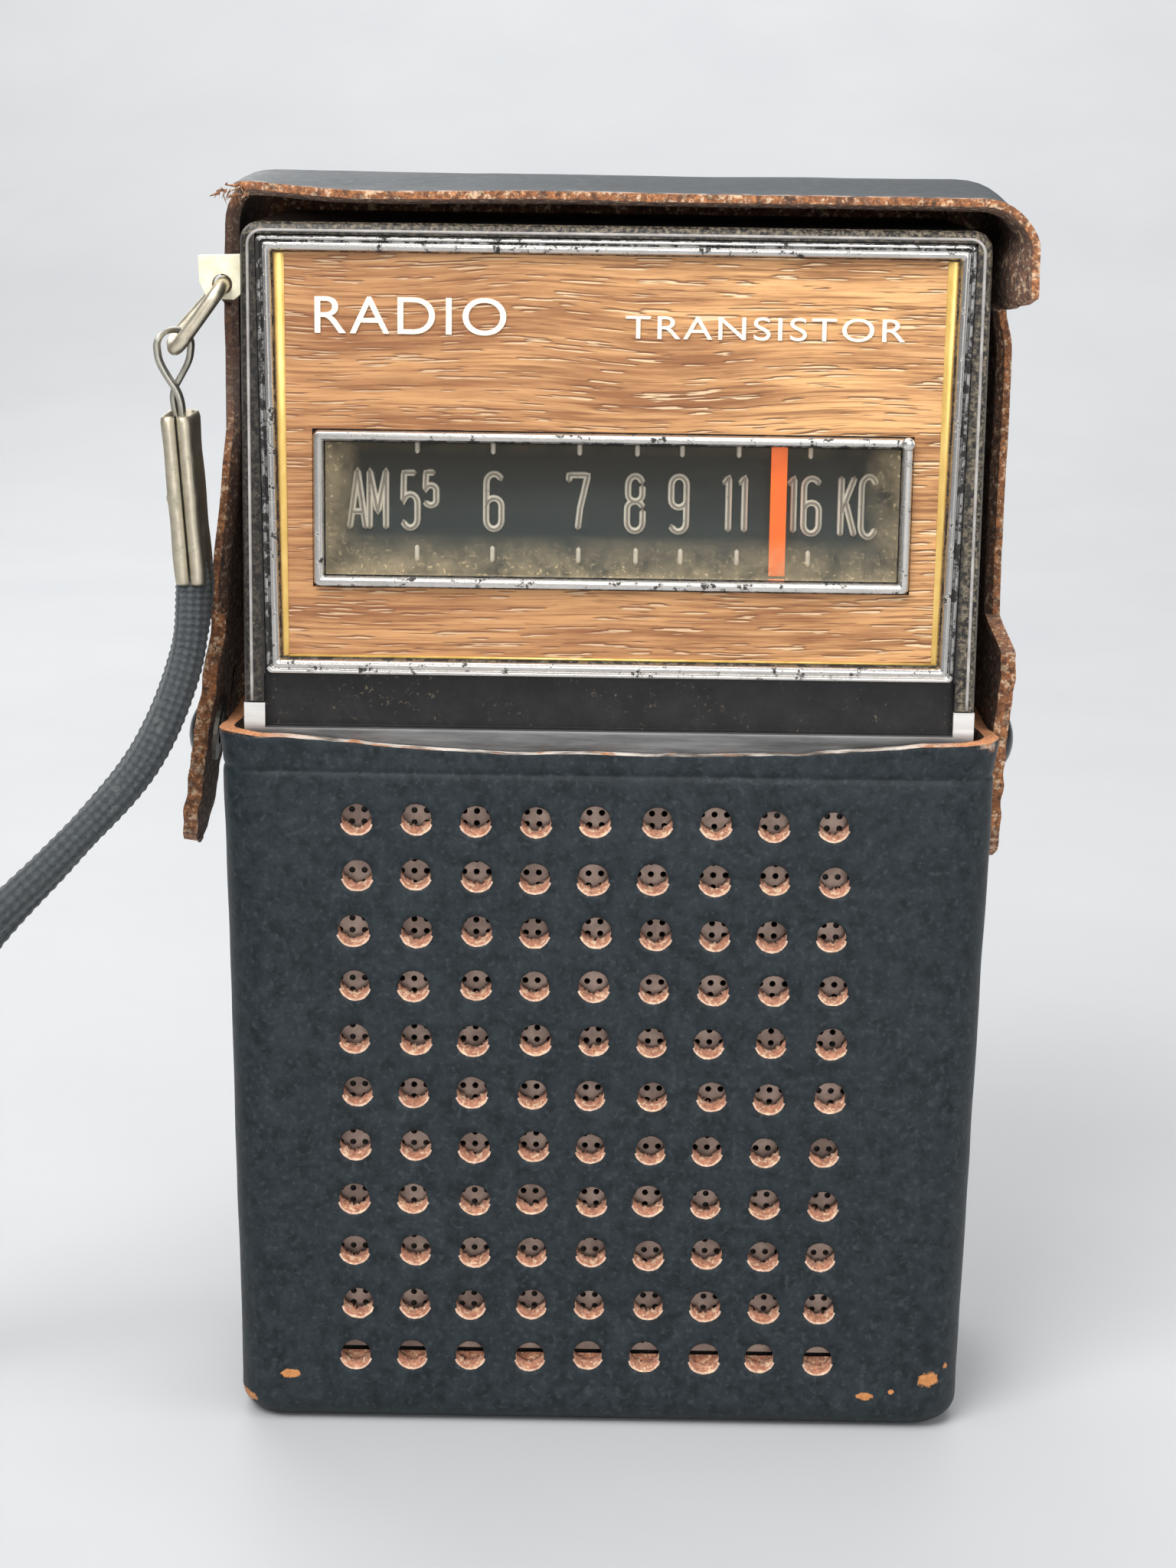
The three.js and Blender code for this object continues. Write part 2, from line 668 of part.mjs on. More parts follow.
// The press stud's domed cap, whose shank passes through the hood's tab.
function snapCap(side) {
  const outer = HOOD.half + 0.1;
  const dome = [
    [0, outer + 1.7],
    [1.7, outer + 1.5],
    [2.9, outer + 0.9],
    [3.5, outer + 0.15],
    [3.4, outer],
    [1.3, outer],
    [1.3, HOOD.half - LEATHER + 0.2],
    [0, HOOD.half - LEATHER + 0.2],
  ];
  const points = dome.reverse().map(([radius, along]) => new THREE.Vector2(radius, along));
  const geometry = new THREE.LatheGeometry(points, 28).rotateZ(side > 0 ? -Math.PI / 2 : Math.PI / 2);
  return solid(geometry.translate(0, SNAP.y, SNAP.z));
}

// The left tab hangs open: it and its press stud are turned outwards about the shoulder.
function splayed(shape, side) {
  if (side > 0) return shape;
  const { splay, top } = TAB;
  return shape.translate([HOOD.half, 0, -top]).rotate([0, splay, 0]).translate([-HOOD.half, 0, top]);
}

function snapSocket(side) {
  const inner = HOOD.half - LEATHER;
  const span = (from, to) => inOrder(side * (inner + from), side * (inner + to));
  return cut(rod(3.2, "x", ...span(0.05, 0.6), SNAP, 24), rod(1.6, "x", ...span(-1, 2), SNAP, 20));
}

function hoodTab(side) {
  const [inner, outer] = [HOOD.half - LEATHER, HOOD.half];
  const front = side > 0 ? TAB.rightFront : TAB.leftFront;
  const tip = 3.5;
  const outline = polygon([
    [front, TAB.top],
    [front, TAB.bottom + tip],
    [front + tip, TAB.bottom],
    [TAB.back - tip, TAB.bottom],
    [TAB.back, TAB.bottom + tip],
    [TAB.back, TAB.top],
  ]);
  // The outline is drawn in Y and Z and stands off the pocket's side by its own thickness.
  const geometry = new THREE.ExtrudeGeometry(outline, { depth: LEATHER, bevelEnabled: false });
  geometry.rotateX(Math.PI / 2).rotateZ(Math.PI / 2).translate(side > 0 ? inner : -outer, 0, 0);
  const through = inOrder(side * (inner - 1), side * (outer + 1));
  const seat = inOrder(side * (inner - 1), side * (inner + 0.7));
  return cut(solid(geometry), rod(1.6, "x", ...through, SNAP, 16), rod(3.4, "x", ...seat, SNAP, 24));
}

// The hood covers the radio's back and top. Its sides are cut away for the wheels, the jack and the strap.
function caseHood() {
  const { half, top, front, hinge, corner } = HOOD;
  const bottom = hinge + 1.1;
  const outside = roundedRectangle(-half, half, 0, top, corner);
  const inside = roundedRectangle(-half + LEATHER, half - LEATHER, -20, top - LEATHER, corner - LEATHER);
  const shell = cut(plate(outside, front, HOOD_BACK), plate(inside, front - 5, HOOD_BACK - LEATHER));
  // The sides end above the tabs. Behind the tabs they reach down past the pocket's mouth.
  const overTabs = box(-half - 1, half + 1, front - 5, TAB.back + TAB.slit, -5, TAB.wallBottom);
  const low = box(-half - 1, half + 1, front - 5, HOOD_BACK - LEATHER - 0.01, -5, TAB.wallFoot);
  const beside = (side) => {
    const [x0, x1] = inOrder(side * (ANCHOR.half + ANCHOR.flare), side * (half + 2));
    return box(x0, x1, front - 5, HOOD_BACK + 5, -5, TAB.wallFoot);
  };
  const { depth, back, top: windowTop } = WHEEL_WINDOW;
  const wheelWindow = box(half - depth, half + 2, front - 5, back, TAB.wallBottom - 1, windowTop);
  // The left side's front edge slopes back from the tab to clear the jack and the strap's lug.
  const slope = polygon([
    [front - 5, TAB.wallBottom - 1],
    [TAB.leftFront, TAB.wallBottom - 1],
    [-2, 94],
    [8, 99],
    [8, top + 5],
    [front - 5, top + 5],
  ]);
  const left = new THREE.ExtrudeGeometry(slope, { depth: 12, bevelEnabled: false });
  left.rotateX(Math.PI / 2).rotateZ(Math.PI / 2).translate(-half - 8, 0, 0);
  const below = slab(half + 2, front - 5, HOOD_BACK + 5, -5, bottom);
  return cut(shell, below, overTabs, low, beside(-1), beside(1), wheelWindow, solid(left));
}

// The foot of the hood's back, riveted to the pocket. The leather bends between this and the hood.
function hoodAnchor() {
  const { top, bottom, half, flare } = ANCHOR;
  const outline = polygon([
    [-half - flare, top],
    [-half - flare, top - 4],
    [-half, bottom],
    [half, bottom],
    [half + flare, top - 4],
    [half + flare, top],
  ]);
  const holes = [-1, 1].map((side) => rod(RIVET.hole, "y", 10, 25, rivetAt(side), 16));
  return cut(plate(outline, HOOD_BACK - LEATHER, HOOD_BACK), ...holes);
}

function hoodRivet(side) {
  const at = rivetAt(side);
  const inner = POCKET_BACK - LEATHER;
  return turned(
    [
      [0, inner + 0.1],
      [2.3, inner + 0.1],
      [2.3, inner + 0.5],
      [1.1, inner + 0.5],
      [1.1, HOOD_BACK + 0.05],
      [2.8, HOOD_BACK + 0.05],
      [2.5, HOOD_BACK + 0.5],
      [1.5, HOOD_BACK + 0.8],
      [0, HOOD_BACK + 0.9],
    ],
    at,
    20,
  );
}

// ---------------------------------------------------------------- wrist strap
function strapLug() {
  const outline = polygon([
    [-33, 109.3],
    [-33, 112.8],
    [-38.6, 112.6],
    [-38.5, 110.2],
    [-37.8, 108.7],
    [-35.3, 108.6],
    [-34.5, 109.3],
  ]);
  const foot = box(-32.6, -31.8, LUG.y - 2, LUG.y + 2, 107, 113.4);
  const neck = box(-34, -32.2, LUG.y - LUG.half, LUG.y + LUG.half, 109.4, 112.7);
  const ear = plate(outline, LUG.y - LUG.half, LUG.y + LUG.half);
  return cut(join(ear, foot, neck), rod(0.95, "y", -14, -6, { x: LUG.holeX, z: LUG.holeZ }, 20));
}

// A stadium-shaped ring of wire.
// Both of its ends run along Y: one through the lug and one through the strap's eye.
function strapLink() {
  const { halfWidth, length, slope, wire } = LINK;
  const along = new THREE.Vector3(-Math.cos(slope), 0, -Math.sin(slope));
  const across = new THREE.Vector3(0, 1, 0);
  const start = new THREE.Vector3(LUG.holeX, LUG.y, LUG.holeZ);
  const bend = 1.5;
  const place = (u, v) => start.clone().addScaledVector(along, u).addScaledVector(across, v);
  const corners = [
    [0, halfWidth, 1, 0],
    [length, halfWidth, 0, -1],
    [length, -halfWidth, -1, 0],
    [0, -halfWidth, 0, 1],
  ];
  const arcSteps = 4;
  const points = corners.flatMap(([u, v], i) => {
    const centre = { u: u ? u - bend : bend, v: v > 0 ? v - bend : -halfWidth + bend };
    const begin = [Math.PI, Math.PI / 2, 0, -Math.PI / 2][i];
    return Array.from({ length: arcSteps + 1 }, (_, k) => {
      const angle = begin - ((Math.PI / 2) * k) / arcSteps;
      return place(centre.u + bend * Math.cos(angle), centre.v + bend * Math.sin(angle));
    });
  });
  return closedWire(points, wire, 10);
}

// A round wire whose ends meet, swept through a closed loop of points.
function closedWire(points, radius, sides) {
  const normal = new THREE.Vector3()
    .subVectors(points[1], points[0])
    .cross(new THREE.Vector3().subVectors(points[points.length - 2], points[0]))
    .normalize();
  const count = points.length;
  const positions = [];
  points.forEach((point, i) => {
    const before = points[(i + count - 1) % count];
    const after = points[(i + 1) % count];
    const tangent = new THREE.Vector3().subVectors(after, before).normalize();
    const side = new THREE.Vector3().crossVectors(tangent, normal);
    for (let k = 0; k < sides; k++) {
      const angle = (2 * Math.PI * k) / sides;
      const at = point.clone().addScaledVector(side, radius * Math.cos(angle));
      at.addScaledVector(normal, radius * Math.sin(angle));
      positions.push(at.x, at.y, at.z);
    }
  });
  const faces = [];
  for (let i = 0; i < count; i++) {
    for (let k = 0; k < sides; k++) {
      const [a, b] = [i * sides + k, i * sides + ((k + 1) % sides)];
      const [c, d] = [a, b].map((v) => (v + sides) % (count * sides));
      faces.push(a, c, b, b, c, d);
    }
  }
  const geometry = new THREE.BufferGeometry();
  geometry.setAttribute("position", new THREE.Float32BufferAttribute(positions, 3));
  geometry.setIndex(faces);
  const made = solid(geometry);
  if (made.volume() > 0) return made;
  geometry.setIndex(faces.map((_, i) => faces[i - (i % 3) + [0, 2, 1][i % 3]]));
  return solid(geometry);
}

// A strip bent into an eye round the link's lower end, with its two legs held in the ferrule.
function strapEye() {
  const width = 1.4;
  const { x, z } = LINK_END;
  const sheet = 0.5;
  const outer = 1.55;
  const steps = 14;
  const ring = (radius) =>
    Array.from({ length: steps + 1 }, (_, i) => {
      const angle = THREE.MathUtils.degToRad(-52 + (284 * i) / steps);
      return [x + radius * Math.cos(angle), z + radius * Math.sin(angle)];
    });
  const neck = z - 4.2;
  const legEnd = FERRULE.top - 1.6;
  const right = [[x + 0.62, legEnd], [x + 0.62, neck]];
  const left = [[x - 0.62, neck], [x - 0.62, legEnd]];
  const outside = [...right, ...ring(outer), ...left];
  const eyeHole = polygon(
    Array.from({ length: 18 }, (_, i) => {
      const angle = (2 * Math.PI * i) / 18;
      const low = Math.sin(angle) < 0 ? 1.5 : 1;
      const narrow = 1 + 0.25 * Math.min(0, Math.sin(angle));
      const r = outer - sheet;
      return [x + r * narrow * Math.cos(angle), z + r * low * Math.sin(angle)];
    }),
  );
  return cut(plate(polygon(outside), LUG.y - width, LUG.y + width), plate(eyeHole, LUG.y - 5, LUG.y + 5));
}

// A sheet folded round both legs of the braid, its edges rolled in along the front.
function strapFerrule() {
  const { halfX, halfY, top, bottom, sheet, rivet } = FERRULE;
  const outside = roundedRectangle(FERRULE_X - halfX, FERRULE_X + halfX, LUG.y - halfY, LUG.y + halfY, 0.9);
  const inside = roundedRectangle(
    FERRULE_X - halfX + sheet,
    FERRULE_X + halfX - sheet,
    LUG.y - halfY + sheet,
    LUG.y + halfY - sheet,
    0.6,
  );
  const face = LUG.y - halfY;
  const seam = box(FERRULE_X - 0.12, FERRULE_X + 0.12, face - 1, face + 0.15, bottom - 1, top + 1);
  const side = FERRULE_X - halfX;
  const stud = rod(0.8, "x", side - 0.45, side + 0.2, { y: LUG.y, z: rivet }, 14);
  return join(cut(column(outside, bottom, top), column(inside, bottom - 1, top + 1), seam), stud);
}

// Where the middle of the doubled braid runs, from inside the ferrule to the loop's far end.
const BRAID_PATH = [
  [FERRULE_X, LUG.y, 94],
  [FERRULE_X, LUG.y, 88],
  [FERRULE_X, LUG.y, 82],
  [-41.9, -10.6, 74],
  [-45.8, -11.8, 65],
  [-52.4, -13.4, 56.6],
  [-60.6, -14.8, 47],
  [-68.2, -15.4, 35],
  [-74, -15, 22],
  [-79, -13.6, 10.5],
  [-85, -12, 4],
].map((p) => new THREE.Vector3(...p));

// The braid is one length folded in half.
// It leaves the ferrule, turns at the far end and comes back beside itself.
function strapBraid() {
  const middle = new THREE.CatmullRomCurve3(BRAID_PATH, false, "centripetal");
  const samples = 16;
  const leg = (side) =>
    Array.from({ length: samples + 1 }, (_, i) => {
      const u = i / samples;
      const into = THREE.MathUtils.smoothstep(u, 0.12, 0.4);
      const outOf = THREE.MathUtils.smoothstep(u, 0.75, 0.95);
      const turn = (into - outOf) * THREE.MathUtils.degToRad(-20);
      const spread = BRAID.half + 0.7 * THREE.MathUtils.smoothstep(u, 0.8, 1);
      const tangent = middle.getTangentAt(u);
      const across = new THREE.Vector3(0, -1, 0);
      const up = new THREE.Vector3().crossVectors(across, tangent).normalize();
      return middle
        .getPointAt(u)
        .addScaledVector(across, side * spread * Math.cos(turn))
        .addScaledVector(up, side * spread * Math.sin(turn));
    });
  const away = leg(1);
  const home = leg(-1).reverse();
  const end = middle.getPointAt(1).addScaledVector(middle.getTangentAt(1), BRAID.half + 1.2);
  const loop = new THREE.CatmullRomCurve3([...away, end, ...home], false, "centripetal");
  return bar(loop, BRAID.radius, 64, 9);
}

// ---------------------------------------------------------------- the model
piece("front_cabinet", frontCabinet(), LOOK.blackPlastic);
piece("rear_cabinet", rearCabinet(), LOOK.blackPlastic);
piece("chrome_frame", chromeFrame(), LOOK.chrome);
piece("woodgrain_panel", woodgrainPanel(), LOOK.woodgrain);
piece("dial_bezel", dialBezel(), LOOK.chrome);
piece("dial_window", dialWindow(), LOOK.clear);
piece("dial_scale", dialScale(), LOOK.dialBlack);
piece("dial_pointer", dialPointer(), LOOK.pointerRed);
piece("dial_cord", dialCord(), LOOK.cord);
piece("upper_pulley", pulley(PULLEYS[0]), LOOK.brass);
piece("lower_pulley", pulley(PULLEYS[1]), LOOK.brass);
piece("tuning_wheel", tuningWheel(), LOOK.blackPlastic);
piece("tuning_shaft", tuningShaft(), LOOK.brass);
piece("tuning_screw", tuningScrew(), LOOK.steel);
piece("tuning_capacitor", tuningCapacitor(), LOOK.clear);
piece("volume_wheel", volumeWheel(), LOOK.blackPlastic);
piece("volume_control", volumeControl(), LOOK.steel);
piece("speaker_grille", speakerGrille(), LOOK.aluminium);
piece("speaker_basket", speakerBasket(), LOOK.steel);
piece("speaker_cone", speakerCone(), LOOK.paper);
piece("speaker_magnet", rod(SPEAKER.magnet, "y", -4.2, 3, SPEAKER, 32), LOOK.magnet);
piece("circuit_board", circuitBoard(), LOOK.board);
piece("board_screw_left", boardScrew(-1), LOOK.steel);
piece("board_screw_right", boardScrew(1), LOOK.steel);
piece("ferrite_rod", rod(FERRITE.radius, "x", -30, 10, FERRITE, 24), LOOK.ferrite);
piece("antenna_coil", antennaCoil(), LOOK.copper);
for (const [name, make, look, x, z] of BOARD_PARTS) piece(name, make(x, z), look);
piece("earphone_jack", earphoneJack(), LOOK.blackPlastic);
piece("battery", battery(), LOOK.batteryJacket);
piece("battery_snap", batterySnap(), LOOK.blackPlastic);
piece("case_pocket", casePocket(), LOOK.leather);
piece("case_hood", caseHood(), LOOK.leather);
piece("hood_anchor", hoodAnchor(), LOOK.leather);
for (const [label, side] of [["left", -1], ["right", 1]]) {
  piece(`hood_rivet_${label}`, hoodRivet(side), LOOK.nickel);
  piece(`hood_tab_${label}`, splayed(hoodTab(side), side), LOOK.leather);
  piece(`snap_stud_${label}`, snapStud(side), LOOK.nickel);
  piece(`snap_cap_${label}`, splayed(snapCap(side), side), LOOK.blackEnamel);
  piece(`snap_socket_${label}`, splayed(snapSocket(side), side), LOOK.nickel);
}
piece("strap_lug", strapLug(), LOOK.nickel);
piece("strap_link", strapLink(), LOOK.nickel);
piece("strap_eye", strapEye(), LOOK.nickel);
piece("strap_ferrule", strapFerrule(), LOOK.nickel);
piece("strap_braid", strapBraid(), LOOK.braid);

export default radio;
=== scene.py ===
"""A transistor pocket radio standing in its leather case: the looks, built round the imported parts.

Lengths are in millimetres until a mesh is made. +Z is up and the dial faces -Y.
"""

import json
import math
import random

import bpy
from mathutils import Matrix, Vector, noise


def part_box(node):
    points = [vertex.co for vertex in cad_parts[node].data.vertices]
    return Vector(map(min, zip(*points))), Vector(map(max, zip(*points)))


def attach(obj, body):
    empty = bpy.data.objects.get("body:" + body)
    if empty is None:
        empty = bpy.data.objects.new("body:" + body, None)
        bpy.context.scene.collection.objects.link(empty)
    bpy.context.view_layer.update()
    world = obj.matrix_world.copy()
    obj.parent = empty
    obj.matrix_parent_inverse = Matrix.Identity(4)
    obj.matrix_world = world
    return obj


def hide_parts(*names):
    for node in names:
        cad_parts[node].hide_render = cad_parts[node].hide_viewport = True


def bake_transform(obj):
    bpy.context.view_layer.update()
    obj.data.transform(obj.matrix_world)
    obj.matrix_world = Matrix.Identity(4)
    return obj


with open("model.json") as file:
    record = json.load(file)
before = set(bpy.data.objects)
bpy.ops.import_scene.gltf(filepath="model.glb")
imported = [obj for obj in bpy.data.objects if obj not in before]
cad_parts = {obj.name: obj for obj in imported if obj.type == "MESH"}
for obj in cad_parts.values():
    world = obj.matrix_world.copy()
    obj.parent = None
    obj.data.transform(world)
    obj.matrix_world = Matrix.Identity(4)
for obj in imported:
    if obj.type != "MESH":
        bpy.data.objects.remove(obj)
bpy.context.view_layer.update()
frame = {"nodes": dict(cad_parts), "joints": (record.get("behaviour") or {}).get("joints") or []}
MM = 0.001
dice = random.Random(7)


def corners(node):
    """The lowest and highest corner of a CAD node, in millimetres."""
    low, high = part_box(node)
    return low / MM, high / MM


# ---------------------------------------------------------------- sizes
LEATHER = 1.4  # the thickness of the hide
POCKET_LOW, POCKET_HIGH = corners("case_pocket")
HOOD_LOW, HOOD_HIGH = corners("case_hood")
ANCHOR_LOW = corners("hood_anchor")[0]
GRILLE_LOW, GRILLE_HIGH = corners("speaker_grille")
FRAME_LOW, FRAME_HIGH = corners("chrome_frame")
BEZEL_LOW, BEZEL_HIGH = corners("dial_bezel")
PANEL_LOW, PANEL_HIGH = corners("woodgrain_panel")
SCALE_LOW = corners("dial_scale")[0]
FERRULE_LOW, FERRULE_HIGH = corners("strap_ferrule")
JOINTS = {joint["name"]: joint for joint in frame["joints"]}
TAB_BEND_Z = JOINTS["left_tab_bend"]["pos_m"][2] / MM
LINK_PIN = Vector(JOINTS["link_swing"]["pos_m"]) / MM
EYE_PIN = Vector(JOINTS["strap_swing"]["pos_m"]) / MM

HOLE_COLUMNS, HOLE_ROWS = 9, 11
HOLE_PITCH_X, HOLE_PITCH_Z = 5.65, 5.36
HOLE_MIDDLE_X, HOLE_TOP_Z = -1.1, 60.9
HOLE_RADIUS = 1.42
CELL = 6  # grid squares along the side of one hole's cell
LINE_Z = 65.4  # the line pressed into the pocket below its mouth
LEDGE_Z = 69.3  # the lower edge of the cabinet's ledge, above the grille


# ---------------------------------------------------------------- small maths
def lerp(a, b, t):
    return a + (b - a) * t


def smooth(low, high, value):
    t = min(1.0, max(0.0, (value - low) / (high - low)))
    return t * t * (3 - 2 * t)


def ripple(x, y, z, size):
    """Smooth noise between about -1 and 1, whose bumps are about size across."""
    return noise.noise(Vector((x, y, z)) / size)


def arc(x, z, radius_x, radius_z, start, end, steps):
    """Points along part of an ellipse, with its angles in degrees."""
    points = []
    for i in range(steps + 1):
        angle = math.radians(lerp(start, end, i / steps))
        points.append((x + radius_x * math.cos(angle), z + radius_z * math.sin(angle)))
    return points


def rounded_rectangle(left, right, bottom, top, radius, steps=5):
    """The corners are rounded. Points run anticlockwise."""
    middles = [
        (right - radius, bottom + radius, -90),
        (right - radius, top - radius, 0),
        (left + radius, top - radius, 90),
        (left + radius, bottom + radius, 180),
    ]
    return [p for x, z, start in middles for p in arc(x, z, radius, radius, start, start + 90, steps)]


# ---------------------------------------------------------------- meshes
def build(name, body, points, faces, materials, face_materials=None):
    """Makes a mesh from millimetre points. body may be None, and the piece is then left without one."""
    mesh = bpy.data.meshes.new(name)
    mesh.from_pydata([Vector(p) * MM for p in points], [], faces)
    for material in materials:
        mesh.materials.append(material)
    if face_materials:
        mesh.polygons.foreach_set("material_index", face_materials)
    mesh.polygons.foreach_set("use_smooth", [True] * len(mesh.polygons))
    mesh.validate()
    obj = bpy.data.objects.new(name, mesh)
    bpy.context.scene.collection.objects.link(obj)
    if body:
        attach(obj, body)
    return obj


def grid_faces(rows, columns, closed=False):
    """Quads between rows of points. closed joins the last column to the first."""
    faces = []
    for i in range(rows - 1):
        for j in range(columns if closed else columns - 1):
            k = (j + 1) % columns
            faces.append((i * columns + j, i * columns + k, (i + 1) * columns + k, (i + 1) * columns + j))
    return faces


def rings(name, body, loops, materials, closed_profile=False, capped=False, looks=None):
    """A skin over closed loops of points that all have the same length.

    looks gives each face's material."""
    points = [p for loop in loops for p in loop]
    count = len(loops[0])
    faces = grid_faces(len(loops), count, closed=True)
    if closed_profile:
        last = (len(loops) - 1) * count
        faces += [(last + j, last + (j + 1) % count, (j + 1) % count, j) for j in range(count)]
    if capped:
        last = (len(loops) - 1) * count
        faces += [tuple(range(count))[::-1], tuple(last + j for j in range(count))]
    return build(name, body, points, faces, materials, looks)


def turned(name, body, profile, origin, axis, material, sides=48):
    """A turned piece: profile points are (radius, distance along the axis from origin)."""
    axis = Vector(axis).normalized()
    across = axis.orthogonal().normalized()
    up = axis.cross(across)
    loops = []
    for radius, along in profile:
        loop = []
        for j in range(sides):
            angle = 2 * math.pi * j / sides
            spoke = across * math.cos(angle) + up * math.sin(angle)
            loop.append(Vector(origin) + axis * along + spoke * max(radius, 0.01))
        loops.append(loop)
    return rings(name, body, loops, [material], capped=True)


def sweep(name, body, path, radius, materials, sides=12, closed=False):
    """A tube along a path. radius is a function of the share of the path and of the angle."""
    path = [Vector(p) for p in path]
    count = len(path)
    normal = None
    loops = []
    for i, point in enumerate(path):
        before = path[i - 1] if closed or i else path[i]
        after = path[(i + 1) % count] if closed or i < count - 1 else path[i]
        tangent = (after - before).normalized()
        normal = normal or tangent.orthogonal().normalized()
        normal = (normal - tangent * normal.dot(tangent)).normalized()
        side = tangent.cross(normal)
        loop = []
        for j in range(sides):
            angle = 2 * math.pi * j / sides
            spoke = normal * math.cos(angle) + side * math.sin(angle)
            loop.append(point + spoke * radius(i / max(1, count - 1), angle))
        loops.append(loop)
    return rings(name, body, loops, materials, closed_profile=closed, capped=not closed)


def soften(obj, width, angle=40):
    """Rounds the edges that are sharper than angle."""
    bevel = obj.modifiers.new("soften", "BEVEL")
    bevel.width = width * MM
    bevel.segments = 2
    bevel.limit_method = "ANGLE"
    bevel.angle_limit = math.radians(angle)
    bevel.harden_normals = False
    return obj


def thicken(obj, edge_width, skived=None):
    """Gives a skin of hide its thickness inwards. Its cut edges take material 1 and its inside material 2.

    skived says, for each point, how much of the full thickness it keeps beyond half of it."""
    solid = obj.modifiers.new("thicken", "SOLIDIFY")
    if skived:
        group = obj.vertex_groups.new(name="skived")
        for index, share in enumerate(skived):
            group.add([index], share, "REPLACE")
        solid.vertex_group = "skived"
        solid.thickness_vertex_group = 0.5
    solid.thickness = LEATHER * MM
    solid.offset = -1
    solid.use_even_offset = not skived
    solid.material_offset_rim = 1
    solid.material_offset = 2
    return soften(obj, edge_width, angle=50)


# ---------------------------------------------------------------- material nodes
class Paint:
    """A material's nodes, with a short call for each kind that several materials use."""

    def __init__(self, name):
        self.material = bpy.data.materials.new(name)
        self.material.use_nodes = True
        self.tree = self.material.node_tree
        self.shader = self.tree.nodes["Principled BSDF"]
        self.place = self.scaled()

    def put(self, socket, value):
        if isinstance(value, bpy.types.NodeSocket):
            self.tree.links.new(value, socket)
        elif hasattr(socket.default_value, "__len__") and not hasattr(value, "__len__"):
            socket.default_value = [value] * len(socket.default_value)
        elif hasattr(socket.default_value, "__len__") and len(socket.default_value) == 4:
            socket.default_value = (*value[:3], 1)
        else:
            socket.default_value = value

    def node(self, kind, inputs, **settings):
        made = self.tree.nodes.new("ShaderNode" + kind)
        for key, value in settings.items():
            setattr(made, key, value)
        for key, value in inputs.items():
            self.put(made.inputs[key], value)
        return made

    def scaled(self, stretch=(1, 1, 1)):
        """The object's own coordinates in millimetres, stretched along each axis."""
        where = self.tree.nodes.new("ShaderNodeTexCoord").outputs["Object"]
        factors = tuple(s / MM for s in stretch)
        return self.node("VectorMath", {0: where, 1: factors}, operation="MULTIPLY").outputs[0]

    def axis(self, index):
        return self.node("SeparateXYZ", {0: self.place}).outputs[index]

    def noise(self, size, detail=3, rough=0.55, stretch=None, seed=0.0):
        """Noise whose patches are about size millimetres across."""
        place = self.scaled(stretch) if stretch else self.place
        if seed:
            place = self.node("VectorMath", {0: place, 1: (seed, seed, seed)}).outputs[0]
        inputs = {"Vector": place, "Scale": 1 / size, "Detail": detail, "Roughness": rough}
        return self.node("TexNoise", inputs).outputs["Fac"]

    def cells(self, size, feature):
        made = self.node("TexVoronoi", {"Vector": self.place, "Scale": 1 / size}, feature=feature)
        return made.outputs["Distance"]

    def math(self, operation, a, b=0.0, clamp=False):
        return self.node("Math", {0: a, 1: b}, operation=operation, use_clamp=clamp).outputs[0]

    def times(self, a, b):
        return self.math("MULTIPLY", a, b)

    def minus(self, a, b):
        return self.math("SUBTRACT", a, b)

    def larger(self, a, b):
        return self.math("MAXIMUM", a, b)

    def step(self, value, low, high):
        """0 below low and 1 above high."""
        made = self.node("MapRange", {"Value": value, "From Min": low, "From Max": high})
        return made.outputs["Result"]

    def mix(self, share, a, b):
        made = self.node("Mix", {}, data_type="RGBA")
        for socket, value in zip([made.inputs[0], made.inputs[6], made.inputs[7]], [share, a, b]):
            self.put(socket, value)
        return made.outputs[2]

    def blend(self, share, a, b):
        made = self.node("Mix", {}, data_type="FLOAT")
        for socket, value in zip([made.inputs[0], made.inputs[2], made.inputs[3]], [share, a, b]):
            self.put(socket, value)
        return made.outputs[0]

    def bump(self, height, depth, normal=None, strength=1.0):
        """depth is the height of the relief in millimetres."""
        inputs = {"Height": height, "Distance": depth * MM, "Strength": strength}
        if normal is not None:
            inputs["Normal"] = normal
        return self.node("Bump", inputs).outputs["Normal"]

    def round_edges(self, radius):
        return self.node("Bevel", {"Radius": radius * MM}, samples=4).outputs["Normal"]

    def worn(self, low, high):
        """1 on outside edges, where wear and painted highlights go."""
        pointiness = self.tree.nodes.new("ShaderNodeNewGeometry").outputs["Pointiness"]
        return self.step(pointiness, low, high)

    def finish(self, **inputs):
        for key, value in inputs.items():
            self.put(self.shader.inputs[key.replace("_", " ")], value)
        return self.material


